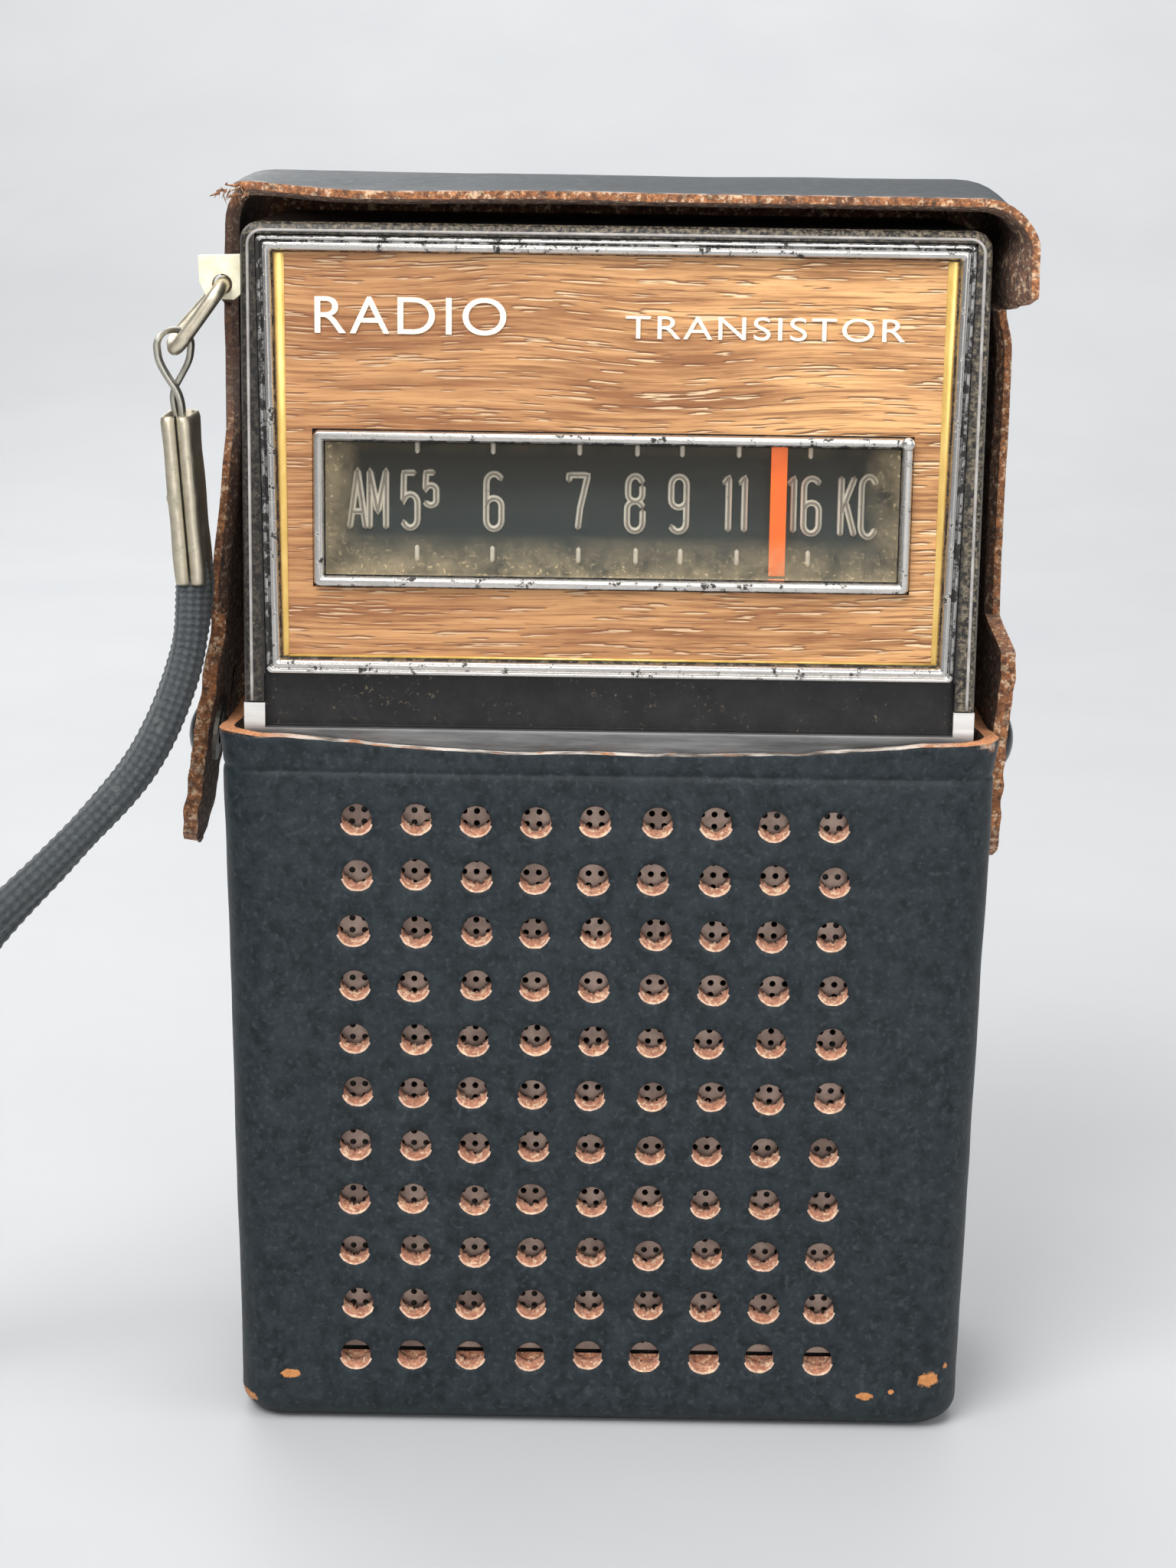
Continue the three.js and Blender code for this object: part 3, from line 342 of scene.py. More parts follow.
def leather_skin():
    """Dark blue-grey grain, mottled with age. Its front edges above the line are worn orange and pale, the
    pale partly a painted highlight.
    """
    paint = Paint("leather_skin")
    mottle = paint.noise(1.3, 5, 0.66)
    broad = paint.noise(14, 3, 0.5, seed=5)
    grain = paint.cells(0.55, "SMOOTH_F1")
    fleck = paint.times(paint.step(paint.noise(0.6, 3, 0.6, seed=11), 0.54, 0.7), 0.5)
    colour = paint.mix(paint.step(mottle, 0.34, 0.68), (0.0045, 0.0082, 0.0105), (0.0195, 0.0275, 0.0325))
    colour = paint.mix(fleck, colour, (0.045, 0.056, 0.062))
    deep = paint.step(paint.noise(2.2, 3, seed=7), 0.45, 0.6)
    # wear and painted highlight: the front edges are worn orange, and their pale colour is partly a painted
    # highlight
    wear_and_highlight = paint.mix(deep, (0.5, 0.21, 0.085), (0.7, 0.63, 0.54))
    nicks_and_highlights = paint.times(paint.worn(0.53, 0.58), paint.step(paint.noise(1.8, 4), 0.46, 0.6))
    nicks_and_highlights = paint.times(nicks_and_highlights, paint.step(paint.axis(2), LINE_Z - 2, LINE_Z))
    nicks_and_highlights = paint.times(nicks_and_highlights, paint.step(paint.axis(1), 10, 6))
    off_bend = paint.math("ABSOLUTE", paint.minus(paint.axis(2), TAB_BEND_Z))
    nicks_and_highlights = paint.times(nicks_and_highlights, paint.step(off_bend, 3, 6))
    colour = paint.mix(paint.times(nicks_and_highlights, 0.8), colour, wear_and_highlight)
    bare = paint.mix(paint.noise(0.5, 4, 0.7), (0.2, 0.06, 0.015), (0.75, 0.34, 0.12))
    colour = paint.mix(chips(paint), colour, bare)
    roughness = paint.blend(paint.step(mottle, 0.3, 0.75), 0.36, 0.52)
    roughness = paint.math("ADD", roughness, paint.times(broad, 0.08))
    normal = paint.bump(grain, 0.05, strength=0.5)
    normal = paint.bump(mottle, 0.12, normal, 0.5)
    return paint.finish(Base_Color=colour, Roughness=roughness, Normal=normal, Specular_IOR_Level=0.26)


# Where the skin is chipped, and how wide and tall each chip is.
CHIPS = [(-30.2, -17.2, 5.0, 0.95, 0.42), (26.0, -17.3, 3.6, 0.85, 0.42), (32.2, -16.6, 5.4, 0.95, 0.8)]
CHIPS += [(28.6, -17.0, 4.1, 0.3, 0.25), (-34.6, -14.5, 2.0, 1.3, 0.6), (33.9, -14.8, 6.6, 0.3, 0.5)]


def chips(paint):
    """1 where the skin has been knocked off near the case's lower corners."""
    ragged = paint.times(paint.minus(paint.noise(0.9, 4, 0.7), 0.5), 1.6)
    total = 0.0
    for x, y, z, wide, tall in CHIPS:
        away = paint.node("VectorMath", {0: paint.place, 1: (x, y, z)}, operation="SUBTRACT").outputs[0]
        scaled = paint.node("VectorMath", {0: away, 1: (1 / wide, 0.4, 1 / tall)}, operation="MULTIPLY")
        distance = paint.node("VectorMath", {0: scaled.outputs[0]}, operation="LENGTH").outputs["Value"]
        chip = paint.step(paint.math("ADD", distance, ragged), 1.1, 0.9)
        total = paint.larger(chip, total)
    return total


def raw_leather(name, light, dark, grime=0.7):
    """The brown fibres that show at a cut edge and on the inside, with pale loose tips and black grime, and
    painted shade darkening the upper part of the hood's left end.
    """
    paint = Paint(name)
    fibre = paint.noise(0.45, 5, 0.75)
    patch = paint.noise(0.9, 4, 0.7, seed=3)
    blotch = paint.step(paint.noise(1.9, 4, 0.7, seed=21), 0.42, 0.58)
    tips = paint.step(paint.noise(0.6, 4, 0.7, seed=13), 0.53, 0.6)
    colour = paint.mix(paint.step(fibre, 0.4, 0.6), dark, light)
    colour = paint.mix(paint.times(blotch, 0.55), colour, dark)
    colour = paint.mix(paint.times(tips, 0.75), colour, (0.95, 0.68, 0.44))
    # painted shade: darkens the raw leather near the top of the hood's left end
    shaded_left = paint.times(paint.step(paint.axis(0), -33, -36), paint.step(paint.axis(2), 92, 99))
    painted_shade_left = paint.times(shaded_left, paint.step(paint.axis(2), 118.5, 116))
    dirt_and_shade = paint.times(paint.step(patch, 0.48, 0.62), grime)
    dirt_and_shade = paint.larger(dirt_and_shade, paint.times(painted_shade_left, 0.85))
    colour = paint.mix(dirt_and_shade, colour, (0.03, 0.015, 0.009))
    normal = paint.bump(fibre, 0.35, strength=1.0)
    return paint.finish(Base_Color=colour, Roughness=0.82, Normal=normal, Sheen_Weight=0.15)


def mouth_edge():
    """The pocket's cut edge: raw and orange at the corners; along the middle dark, with pale painted
    highlights, and shiny.
    """
    paint = Paint("leather_mouth_edge")
    fibre = paint.noise(0.35, 5, 0.7)
    raw = paint.mix(paint.step(fibre, 0.34, 0.66), (0.26, 0.09, 0.035), (0.76, 0.34, 0.15))
    # painted highlight: pale glints on the dark edge along the middle
    glint_patches = paint.step(paint.noise(1.6, 4, 0.65, stretch=(0.35, 1, 1), seed=4), 0.4, 0.6)
    pale = paint.mix(glint_patches, (0.09, 0.06, 0.045), (0.85, 0.77, 0.68))
    middle = paint.step(paint.math("ABSOLUTE", paint.axis(0)), 33, 27)
    middle = paint.times(middle, paint.step(paint.noise(2.5, 4, 0.6, seed=8), 0.36, 0.46))
    colour = paint.mix(middle, raw, pale)
    roughness = paint.blend(middle, 0.8, 0.35)
    return paint.finish(Base_Color=colour, Roughness=roughness, Normal=paint.bump(fibre, 0.2, strength=0.8))


def woodgrain():
    """Printed wood: long streaks, and pale pores painted as highlights, each with a thin painted shadow over
    it, and painted shade towards the lower left.
    """
    paint = Paint("woodgrain_print")
    wave = paint.noise(15, 1, 0.4, stretch=(0.5, 1, 0.7), seed=2)
    rise = paint.node("CombineXYZ", {2: paint.times(wave, 3.6)}).outputs[0]

    def grain(stretch, lift=0.0, **settings):
        bent = paint.node("VectorMath", {0: paint.place, 1: rise}).outputs[0]
        bent = paint.node("VectorMath", {0: bent, 1: (0, 0, lift)}).outputs[0]
        bent = paint.node("VectorMath", {0: bent, 1: stretch}, operation="MULTIPLY").outputs[0]
        return paint.node("TexNoise", {"Vector": bent, "Scale": 1.0, **settings}).outputs["Fac"]

    streak = grain((0.045, 0.1, 0.5), Detail=6, Roughness=0.68)
    line = grain((0.1, 0.1, 4.0), Detail=3, Roughness=0.6)
    colour = paint.mix(paint.step(streak, 0.36, 0.62), (0.32, 0.14, 0.056), (0.76, 0.415, 0.175))
    colour = paint.mix(paint.times(paint.step(line, 0.5, 0.64), 0.72), colour, (0.19, 0.075, 0.03))
    colour = paint.mix(paint.times(paint.step(line, 0.45, 0.3), 0.5), colour, (0.86, 0.52, 0.25))
    pore_size = (0.27, 0.1, 5.0)
    # painted highlight and painted shadow: each pale pore, and the dark line just above it
    pore_highlight = paint.step(grain(pore_size, Detail=1, Roughness=0.4), 0.65, 0.68)
    shadow = paint.step(grain(pore_size, -0.12, Detail=1, Roughness=0.4), 0.6, 0.66)
    colour = paint.mix(paint.times(shadow, 0.85), colour, (0.13, 0.05, 0.022))
    colour = paint.mix(paint.times(pore_highlight, 0.8), colour, (0.9, 0.66, 0.4))
    # painted shade: the print is darker towards the lower left
    slope = paint.math("ADD", paint.axis(0), paint.times(paint.axis(2), 0.7))
    painted_shade_lower_left = paint.times(paint.step(slope, 92, 52), 0.42)
    colour = paint.mix(painted_shade_lower_left, colour, (0.24, 0.095, 0.045))
    normal = paint.bump(paint.minus(pore_highlight, shadow), 0.06, strength=0.5)
    roughness = paint.blend(paint.noise(9, 3), 0.4, 0.52)
    return paint.finish(Base_Color=colour, Roughness=roughness, Normal=normal, Specular_IOR_Level=0.25)


def plating(name, colour, dark, roughness, flake):
    """Bright plating with pits and dark flakes."""
    paint = Paint(name)
    flakes = paint.step(paint.noise(1.3, 6, 0.75, seed=1), flake, flake + 0.05)
    haze = paint.noise(3.5, 5, 0.65, seed=9)
    normal = paint.bump(paint.minus(haze, paint.times(flakes, 0.5)), 0.05, strength=0.6)
    bright = paint.mix(paint.step(haze, 0.35, 0.75), colour, [c * 0.72 for c in colour])
    rough = paint.math("ADD", paint.blend(haze, roughness, roughness + 0.2), paint.times(flakes, 0.4))
    return paint.finish(
        Base_Color=paint.mix(flakes, bright, dark),
        Metallic=paint.blend(flakes, 1.0, 0.0),
        Roughness=rough,
        Normal=normal,
    )


def moulded(name, colour, roughness, dust=(0.24, 0.185, 0.1), dusty=0.6, edge=0.12, settled=None):
    """Moulded plastic with fine scuffs and dust. settled gives the places where the dust lies thickest."""
    paint = Paint(name)
    scuff = paint.noise(2.2, 6, 0.7)
    speck = paint.step(paint.noise(0.5, 3, 0.7, seed=4), 0.62, 0.74)
    patch = paint.step(paint.noise(7, 4, 0.6, seed=8), 0.42, 0.66)
    share = paint.times(paint.times(speck, patch), dusty)
    if settled:
        powder = paint.step(paint.noise(0.4, 4, 0.75, seed=14), 0.44, 0.7)
        share = paint.larger(share, paint.times(powder, settled(paint)))
    base = paint.mix(paint.step(scuff, 0.4, 0.75), colour, [min(1, c * 1.7 + 0.004) for c in colour])
    normal = paint.bump(scuff, 0.03, paint.round_edges(edge), 0.5)
    rough = paint.blend(scuff, roughness - 0.1, roughness + 0.12)
    rough = paint.math("ADD", rough, paint.times(share, 0.4))
    colour = paint.mix(share, base, dust)
    return paint.finish(Base_Color=colour, Roughness=rough, Normal=normal, Specular_IOR_Level=0.28)


def round_the_frame(paint):
    """1 on the cabinet's face above and beside the bright frame."""
    above = paint.step(paint.axis(2), FRAME_HIGH.z - 0.3, FRAME_HIGH.z + 0.3)
    beside = paint.step(paint.math("ABSOLUTE", paint.axis(0)), FRAME_HIGH.x - 0.5, FRAME_HIGH.x)
    beside = paint.times(beside, paint.step(paint.axis(0), -60, 30))
    face = corners("front_cabinet")[0].y
    on_face = paint.step(paint.axis(1), face + 1.2, face + 0.6)
    return paint.times(paint.times(paint.larger(above, beside), on_face), 0.65)


def metal(name, colour, roughness=0.35, stain=(0.09, 0.075, 0.05), stained=0.5, brushed=None, edge=0.1):
    """Plain metal with a brushed or cloudy surface and some staining."""
    paint = Paint(name)
    lines = paint.noise(0.8, 5, 0.65, stretch=brushed)
    cloud = paint.noise(2.4, 5, 0.7, seed=6)
    share = paint.times(paint.step(cloud, 0.52, 0.7), stained)
    normal = paint.bump(lines, 0.025, paint.round_edges(edge), 0.5)
    base = paint.mix(paint.step(lines, 0.3, 0.7), [c * 0.8 for c in colour], colour)
    rough = paint.blend(lines, roughness - 0.08, roughness + 0.1)
    return paint.finish(
        Base_Color=paint.mix(share, base, stain),
        Metallic=paint.blend(share, 1.0, 0.35),
        Roughness=paint.math("ADD", rough, paint.times(share, 0.25)),
        Normal=normal,
    )


def grille_sheet():
    """Aluminium: painted shade and a painted brown reflection of the leather darken it behind the pocket,
    painted shade darkens the strip above the pocket's mouth, and painted light brightens it above the
    ledge's foot.
    """
    paint = Paint("grille_aluminium")
    lines = paint.noise(0.8, 5, 0.65, stretch=(0.08, 1, 1))
    cloud = paint.noise(3, 4, 0.6, seed=6)
    height = paint.step(paint.axis(2), LEDGE_Z - 0.3, LEDGE_Z + 0.5)
    # painted shade and painted reflection: dark, brown-tinted aluminium behind the leather
    shaded_tone = paint.mix(paint.step(cloud, 0.4, 0.65), (0.2, 0.145, 0.12), (0.35, 0.26, 0.215))
    # painted light: bright aluminium above the ledge's foot
    bright = paint.mix(paint.step(lines, 0.3, 0.7), (0.58, 0.57, 0.55), (0.8, 0.78, 0.75))
    # painted shade on the strip between the pocket's mouth and the ledge
    strip = paint.step(paint.axis(2), POCKET_HIGH.z - 2.5, POCKET_HIGH.z)
    strip_painted_shade = paint.mix(paint.step(lines, 0.35, 0.65), (0.1, 0.1, 0.1), (0.24, 0.24, 0.24))
    shaded_tone = paint.mix(strip, shaded_tone, strip_painted_shade)
    colour = paint.mix(height, shaded_tone, bright)
    roughness = paint.blend(lines, 0.34, 0.5)
    normal = paint.bump(lines, 0.02, strength=0.5)
    return paint.finish(Base_Color=colour, Metallic=0.85, Roughness=roughness, Normal=normal)


def clear_window():
    """Thin clear plastic with dust lodged along its edges."""
    paint = Paint("dusty_window")
    across = paint.math("DIVIDE", paint.math("ABSOLUTE", paint.axis(0)), BEZEL_HIGH.x - 1)
    middle = (BEZEL_LOW.z + BEZEL_HIGH.z) / 2
    half = (BEZEL_HIGH.z - BEZEL_LOW.z) / 2 - 1
    above = paint.math("DIVIDE", paint.minus(paint.axis(2), middle), half)
    low_edge = paint.step(above, -0.35, -1.0)
    side = paint.times(paint.step(across, 0.87, 1.03), 0.95)
    high_edge = paint.times(paint.step(above, 0.8, 1.2), 0.3)
    edge = paint.larger(paint.larger(low_edge, side), high_edge)
    cloud = paint.step(paint.noise(2.4, 5, 0.65), 0.3, 0.75)
    grit = paint.step(paint.noise(0.4, 4, 0.75, seed=2), 0.58, 0.66)
    dust = paint.math("ADD", paint.times(cloud, 0.36), paint.times(grit, 0.5))
    dust = paint.math("ADD", paint.times(edge, dust), 0.012, clamp=True)
    clear = paint.node("BsdfTransparent", {"Color": (0.97, 0.98, 0.97)}).outputs[0]
    gloss = paint.node("BsdfGlossy", {"Color": (1, 1, 1), "Roughness": 0.12}).outputs[0]
    powder = paint.node("BsdfDiffuse", {"Color": (0.76, 0.6, 0.37)}).outputs[0]
    facing = paint.node("Fresnel", {"IOR": 1.2}).outputs[0]
    pane = paint.node("MixShader", {0: facing, 1: clear, 2: gloss}).outputs[0]
    dusty = paint.node("MixShader", {0: dust, 1: pane, 2: powder}).outputs[0]
    paint.tree.links.new(dusty, paint.tree.nodes["Material Output"].inputs["Surface"])
    return paint.material


def glowing(name, colour, light):
    # painted glow: the emission lights a part that is no lamp
    paint = Paint(name)
    tone = paint.noise(1.5, 4, 0.6)
    shade = paint.mix(paint.step(tone, 0.3, 0.8), colour, [c * 0.75 for c in colour])
    return paint.finish(
        Base_Color=shade,
        Roughness=0.35,
        Emission_Color=shade,
        Emission_Strength=light,
        Normal=paint.bump(tone, 0.02),
    )


def dial_plate():
    """Blue-grey plate, with a painted shadow along its head."""
    paint = Paint("dial_plate_black")
    # painted shadow: darkest along the plate's head, under the bezel
    height = paint.step(paint.axis(2), BEZEL_HIGH.z - 2, BEZEL_LOW.z + 2)
    streak = paint.noise(3, 4, 0.6, stretch=(0.15, 1, 1))
    colour = paint.mix(height, (0.009, 0.0115, 0.014), (0.044, 0.061, 0.068))
    colour = paint.mix(paint.times(paint.step(streak, 0.45, 0.75), 0.3), colour, (0.07, 0.082, 0.084))
    roughness = paint.blend(streak, 0.4, 0.55)
    return paint.finish(Base_Color=colour, Roughness=roughness, Specular_IOR_Level=0.12)


def braid_cloth():
    paint = Paint("braided_cord_cloth")
    thread = paint.noise(0.3, 4, 0.7)
    patch = paint.noise(6, 3, 0.5, seed=2)
    colour = paint.mix(paint.step(thread, 0.3, 0.75), (0.008, 0.011, 0.0135), (0.05, 0.062, 0.07))
    colour = paint.mix(paint.times(paint.step(patch, 0.5, 0.75), 0.3), colour, (0.05, 0.055, 0.055))
    # painted highlight: paler on the braid's outer ridges
    colour = paint.mix(paint.times(paint.worn(0.5, 0.56), 0.35), colour, (0.13, 0.14, 0.13))
    normal = paint.bump(thread, 0.12, strength=0.8)
    return paint.finish(Base_Color=colour, Roughness=0.75, Normal=normal, Sheen_Weight=0.25)


def gold_strip():
    paint = Paint("gold_bevel")
    tone = paint.noise(2.2, 5, 0.65, stretch=(1, 1, 0.4))
    colour = paint.mix(paint.step(tone, 0.35, 0.7), (0.62, 0.38, 0.09), (0.86, 0.6, 0.2))
    return paint.finish(Base_Color=colour, Roughness=0.28, Metallic=0.35, Normal=paint.bump(tone, 0.02))


def printed(name, colour):
    """Raised paint, a little worn."""
    paint = Paint(name)
    wear = paint.step(paint.noise(0.5, 5, 0.7), 0.3, 0.42)
    shade = paint.mix(wear, [c * 0.6 for c in colour], colour)
    return paint.finish(Base_Color=shade, Roughness=0.42, Normal=paint.bump(wear, 0.02))


def wound(name, colour, gap, axis):
    """Turns of wire or ribbed sleeve, as bands across one axis, with painted shade in the grooves between
    them.
    """
    paint = Paint(name)
    wave = paint.math("SINE", paint.times(paint.axis(axis), 2 * math.pi / gap))
    cloud = paint.noise(1.5, 4)
    shade = paint.mix(paint.step(wave, -0.9, 0.6), [c * 0.3 for c in colour], colour)
    shade = paint.mix(paint.times(cloud, 0.4), shade, [c * 0.7 for c in colour])
    return paint.finish(Base_Color=shade, Roughness=0.4, Normal=paint.bump(wave, gap / 4))


SKIN = leather_skin()
RAW = raw_leather("leather_cut_edge", (0.68, 0.27, 0.095), (0.2, 0.07, 0.026))
LINING = raw_leather("leather_lining", (0.36, 0.135, 0.05), (0.11, 0.04, 0.018))
PUNCHED = raw_leather("leather_punched_wall", (0.76, 0.34, 0.19), (0.36, 0.13, 0.065), 0.2)
MOUTH = mouth_edge()
# painted highlight: the pale lower rims of the punched holes
HOLE_RIM_HIGHLIGHT = raw_leather("leather_hole_rim_painted_highlight", (0.9, 0.68, 0.54), (0.62, 0.34, 0.22), 0.15)
HIDE = [SKIN, RAW, LINING]
CHROME = plating("chrome_flaking", (0.64, 0.61, 0.575), (0.02, 0.017, 0.014), 0.16, 0.57)
LOST_CHROME = plating("chrome_mostly_lost", (0.35, 0.34, 0.33), (0.012, 0.011, 0.01), 0.3, 0.46)
CABINET = (0.0115, 0.0105, 0.0105)
BLACK = moulded("cabinet_black", CABINET, 0.34, (0.42, 0.34, 0.23), 0.5, settled=round_the_frame)
ALUMINIUM = grille_sheet()
NICKEL = metal("aged_nickel", (0.76, 0.68, 0.53), 0.38, (0.3, 0.24, 0.15), 0.55)
DULL_NICKEL = metal("dull_nickel", (0.44, 0.42, 0.36), 0.42, (0.16, 0.15, 0.12), 0.6)
CREAM = printed("cream_print", (0.82, 0.77, 0.64))
FIGURE = printed("figure_silver", (0.85, 0.76, 0.65))
FIGURE_DARK = printed("figure_shade", (0.3, 0.25, 0.21))
# wear and painted highlight: the pale grey crest of the cabinet's face bead
BEAD_WEAR_AND_HIGHLIGHT = moulded("bead_worn_painted_highlight", (0.3, 0.28, 0.265), 0.22, (0.7, 0.6, 0.46), 0.9)
GOLD = gold_strip()
FERRULE_METAL = metal("ferrule_corroded", (0.64, 0.57, 0.44), 0.46, (0.26, 0.25, 0.18), 0.85)
SEAM = metal("ferrule_seam_shadow", (0.09, 0.085, 0.07), 0.6)
ENAMEL = moulded("black_enamel", (0.004, 0.004, 0.005), 0.16, dusty=0.2)


# ---------------------------------------------------------------- leather pocket
POCKET_CORNER = 4.2
POCKET_FOOT = 2.6
FRONT_MARGIN = 8  # grid squares between the holes and each corner


def pocket_half(z):
    """Half the pocket's width: it widens a little towards its mouth."""
    return POCKET_HIGH.x - 0.6 + 0.0178 * z


def pocket_top(x, y):
    """The height of the mouth's edge: it rises towards the front corners."""
    at_front = smooth(-4, -15, y)
    corner = smooth(10, 37, abs(x))
    wander = 0.18 * ripple(x, y, 0, 7) + 0.1 * ripple(x, y, 9, 2)
    return POCKET_HIGH.z - 0.1 + at_front * corner * 1.5 + (1 - at_front) * 0.7 + wander


def relief(x, y, z):
    """How far the leather stands out from its plain shape."""
    wave = 0.22 * ripple(x, y, z, 17) + 0.07 * ripple(x, y, z, 5)
    groove = -0.16 * math.exp(-(((z - LINE_Z) / 0.28) ** 2))
    lip = 0.35 * smooth(65.8, 69, z) * smooth(20, 36, abs(x))
    return wave + groove + lip


def pocket_columns(half, front, back, radius):
    """Plan points round the pocket with their outward normals, starting at the front's left end."""
    zone = HOLE_COLUMNS * HOLE_PITCH_X / 2
    edge = half - radius
    left, right = HOLE_MIDDLE_X - zone, HOLE_MIDDLE_X + zone
    count = HOLE_COLUMNS * CELL
    xs = [lerp(-edge, left, i / FRONT_MARGIN) for i in range(FRONT_MARGIN)]
    xs += [lerp(left, right, i / count) for i in range(count)]
    xs += [lerp(right, edge, i / FRONT_MARGIN) for i in range(FRONT_MARGIN)]
    points = [(x, front, 0, -1) for x in xs]

    def corner(x, y, start):
        for i in range(8):
            angle = math.radians(start + 90 * i / 8)
            nx, ny = math.cos(angle), math.sin(angle)
            points.append((x + radius * nx, y + radius * ny, nx, ny))

    low, high = front + radius, back - radius
    corner(edge, low, -90)
    points.extend((half, lerp(low, high, i / 14), 1, 0) for i in range(14))
    corner(edge, high, 0)
    points.extend((lerp(edge, -edge, i / 26), back, 0, 1) for i in range(26))
    corner(-edge, high, 90)
    points.extend((-half, lerp(high, low, i / 14), -1, 0) for i in range(14))
    corner(-edge, low, 180)
    return points


def pocket_row(z, inset=0.0, share=0.0):
    """One level of the pocket. share moves it from z up to the mouth's edge."""
    half = pocket_half(z) - inset
    radius = min(max(POCKET_CORNER - inset * 0.5, 0.5), half, 15 - inset / 2)
    plan = pocket_columns(half, POCKET_LOW.y + inset, POCKET_HIGH.y - inset, radius)
    row = []
    for x, y, nx, ny in plan:
        height = lerp(z, pocket_top(x, y), share)
        out = relief(x, y, height) if not inset else 0
        row.append((x + nx * out, y + ny * out, height))
    return row


def pocket_levels():
    """The rows of points from the middle of the underside up to the mouth."""
    rim = pocket_row(0.0, POCKET_FOOT)
    middle = (POCKET_LOW.y + POCKET_HIGH.y) / 2
    rows = [[(x * share, lerp(middle, y, share), z) for x, y, z in rim] for share in (0.2, 0.45, 0.7, 0.9)]
    for i in range(7):
        angle = math.radians(15 * i)
        inset = POCKET_FOOT * (1 - math.sin(angle)) + 1e-6
        rows.append(pocket_row(POCKET_FOOT * (1 - math.cos(angle)), inset))
    zone_low = HOLE_TOP_Z - (HOLE_ROWS - 0.5) * HOLE_PITCH_Z
    rows.append(pocket_row((POCKET_FOOT + zone_low) / 2))
    first = len(rows)
    count = HOLE_ROWS * CELL
    rows += [pocket_row(zone_low + HOLE_PITCH_Z * i / CELL) for i in range(count + 1)]
    rows += [pocket_row(z) for z in (64.2, 64.8, 65.1, 65.25, 65.4, 65.55, 65.7, 66.0)]
    rows += [pocket_row(66.4, share=share) for share in (0.0, 0.3, 0.55, 0.8, 1.0)]
    return rows, first


def punched_hole(points, faces, border, x, z, radius):
    """Rings of points that lead from a cell's border down to the hole's ragged rim.

    Returns the faces on the lower side of the rim, which take a pale painted highlight."""
    count = len(border)
    before = border
    for scale, sink in ((1.42, 0.0), (1.13, 0.03), (1.0, 0.2)):
        ring = []
        for index in border:
            px, _, pz = points[index]
            angle = math.atan2(pz - z, px - x)
            ragged = 1 + (0.045 * ripple(math.cos(angle) + x, math.sin(angle) + z, 1, 0.35) if sink else 0)
            hx = x + radius * scale * ragged * math.cos(angle)
            hz = z + radius * scale * ragged * math.sin(angle)
            ring.append(len(points))
            points.append((hx, POCKET_LOW.y - relief(hx, POCKET_LOW.y, hz) + sink, hz))
        for j in range(count):
            k = (j + 1) % count
            faces.append((before[j], before[k], ring[k], ring[j]))
        before = ring
    first = len(faces) - count
    return [first + j for j in (*range(CELL + 2), count - 2, count - 1)]


def leather_pocket():
    rows, first = pocket_levels()
    width = len(rows[0])
    points = [p for row in rows for p in row]
    holes = range(FRONT_MARGIN, FRONT_MARGIN + HOLE_COLUMNS * CELL)
    levels = range(first, first + HOLE_ROWS * CELL)
    faces = [tuple(range(width))[::-1]]
    pale, places = [], []
    for i in range(len(rows) - 1):
        for j in range(width):
            if i in levels and j in holes:
                continue
            k = (j + 1) % width
            faces.append((i * width + j, i * width + k, (i + 1) * width + k, (i + 1) * width + j))
    for row in range(HOLE_ROWS):
        for column in range(HOLE_COLUMNS):
            j, i = FRONT_MARGIN + column * CELL, first + row * CELL
            border = [i * width + j + k for k in range(CELL)]
            border += [(i + k) * width + j + CELL for k in range(CELL)]
            border += [(i + CELL) * width + j + CELL - k for k in range(CELL)]
            border += [(i + CELL - k) * width + j for k in range(CELL)]
            x = HOLE_MIDDLE_X + (column - (HOLE_COLUMNS - 1) / 2) * HOLE_PITCH_X + dice.uniform(-0.24, 0.24)
            z = HOLE_TOP_Z - (HOLE_ROWS - 1 - row) * HOLE_PITCH_Z + dice.uniform(-0.14, 0.14)
            radius = HOLE_RADIUS + dice.uniform(-0.06, 0.06)
            pale += punched_hole(points, faces, border, x, z, radius)
            places.append((x, z, radius))
    # the lower side of each hole's rim takes the pale painted highlight
    looks = [0] * len(faces)
    for index in pale:
        looks[index] = 3
    pocket = build("leather_pocket", "radio", points, faces, [SKIN, MOUTH, LINING, HOLE_RIM_HIGHLIGHT], looks)
    thicken(pocket, 0.1)
    pocket.modifiers["soften"].material = 0
    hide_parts("case_pocket")
    hole_collars(places)


def hole_collars(places):
    """The raw walls of the punched holes: ragged fibres that hang into the lower half of each hole."""
    sides = 32
    profile = [(1.07, 0.2), (1.0, 0.14), (0.93, 0.34), (0.88, 0.5), (0.76, 0.9), (0.68, 1.28), (1.07, 1.34)]
    points, faces, looks = [], [], []
    for x, z, radius in places:
        base = len(points)
        for scale, sink in profile:
            for j in range(sides):
                angle = 2 * math.pi * j / sides
                low = smooth(-0.3, 0.75, -math.sin(angle))
                rough = 0.36 * ripple(4 * math.cos(angle) + x, 4 * math.sin(angle) + z, 3 * sink, 0.7)
                reach = radius * lerp(max(scale, 1.07), scale + rough * (1 - scale) * 2, low)
                hx, hz = x + reach * math.cos(angle), z + reach * math.sin(angle)
                points.append((hx, POCKET_LOW.y - relief(hx, POCKET_LOW.y, hz) + sink, hz))
        ring = [tuple(base + v for v in face) for face in grid_faces(len(profile), sides, closed=True)]
        last = base + (len(profile) - 1) * sides
        ring += [(last + j, last + (j + 1) % sides, base + (j + 1) % sides, base + j) for j in range(sides)]
        faces += [face[::-1] for face in ring]
        # the first band of each wall takes the pale painted highlight
        looks += [int(k < sides) for k in range(len(ring))]
    build("pocket_hole_walls", "radio", points, faces, [PUNCHED, HOLE_RIM_HIGHLIGHT], looks)


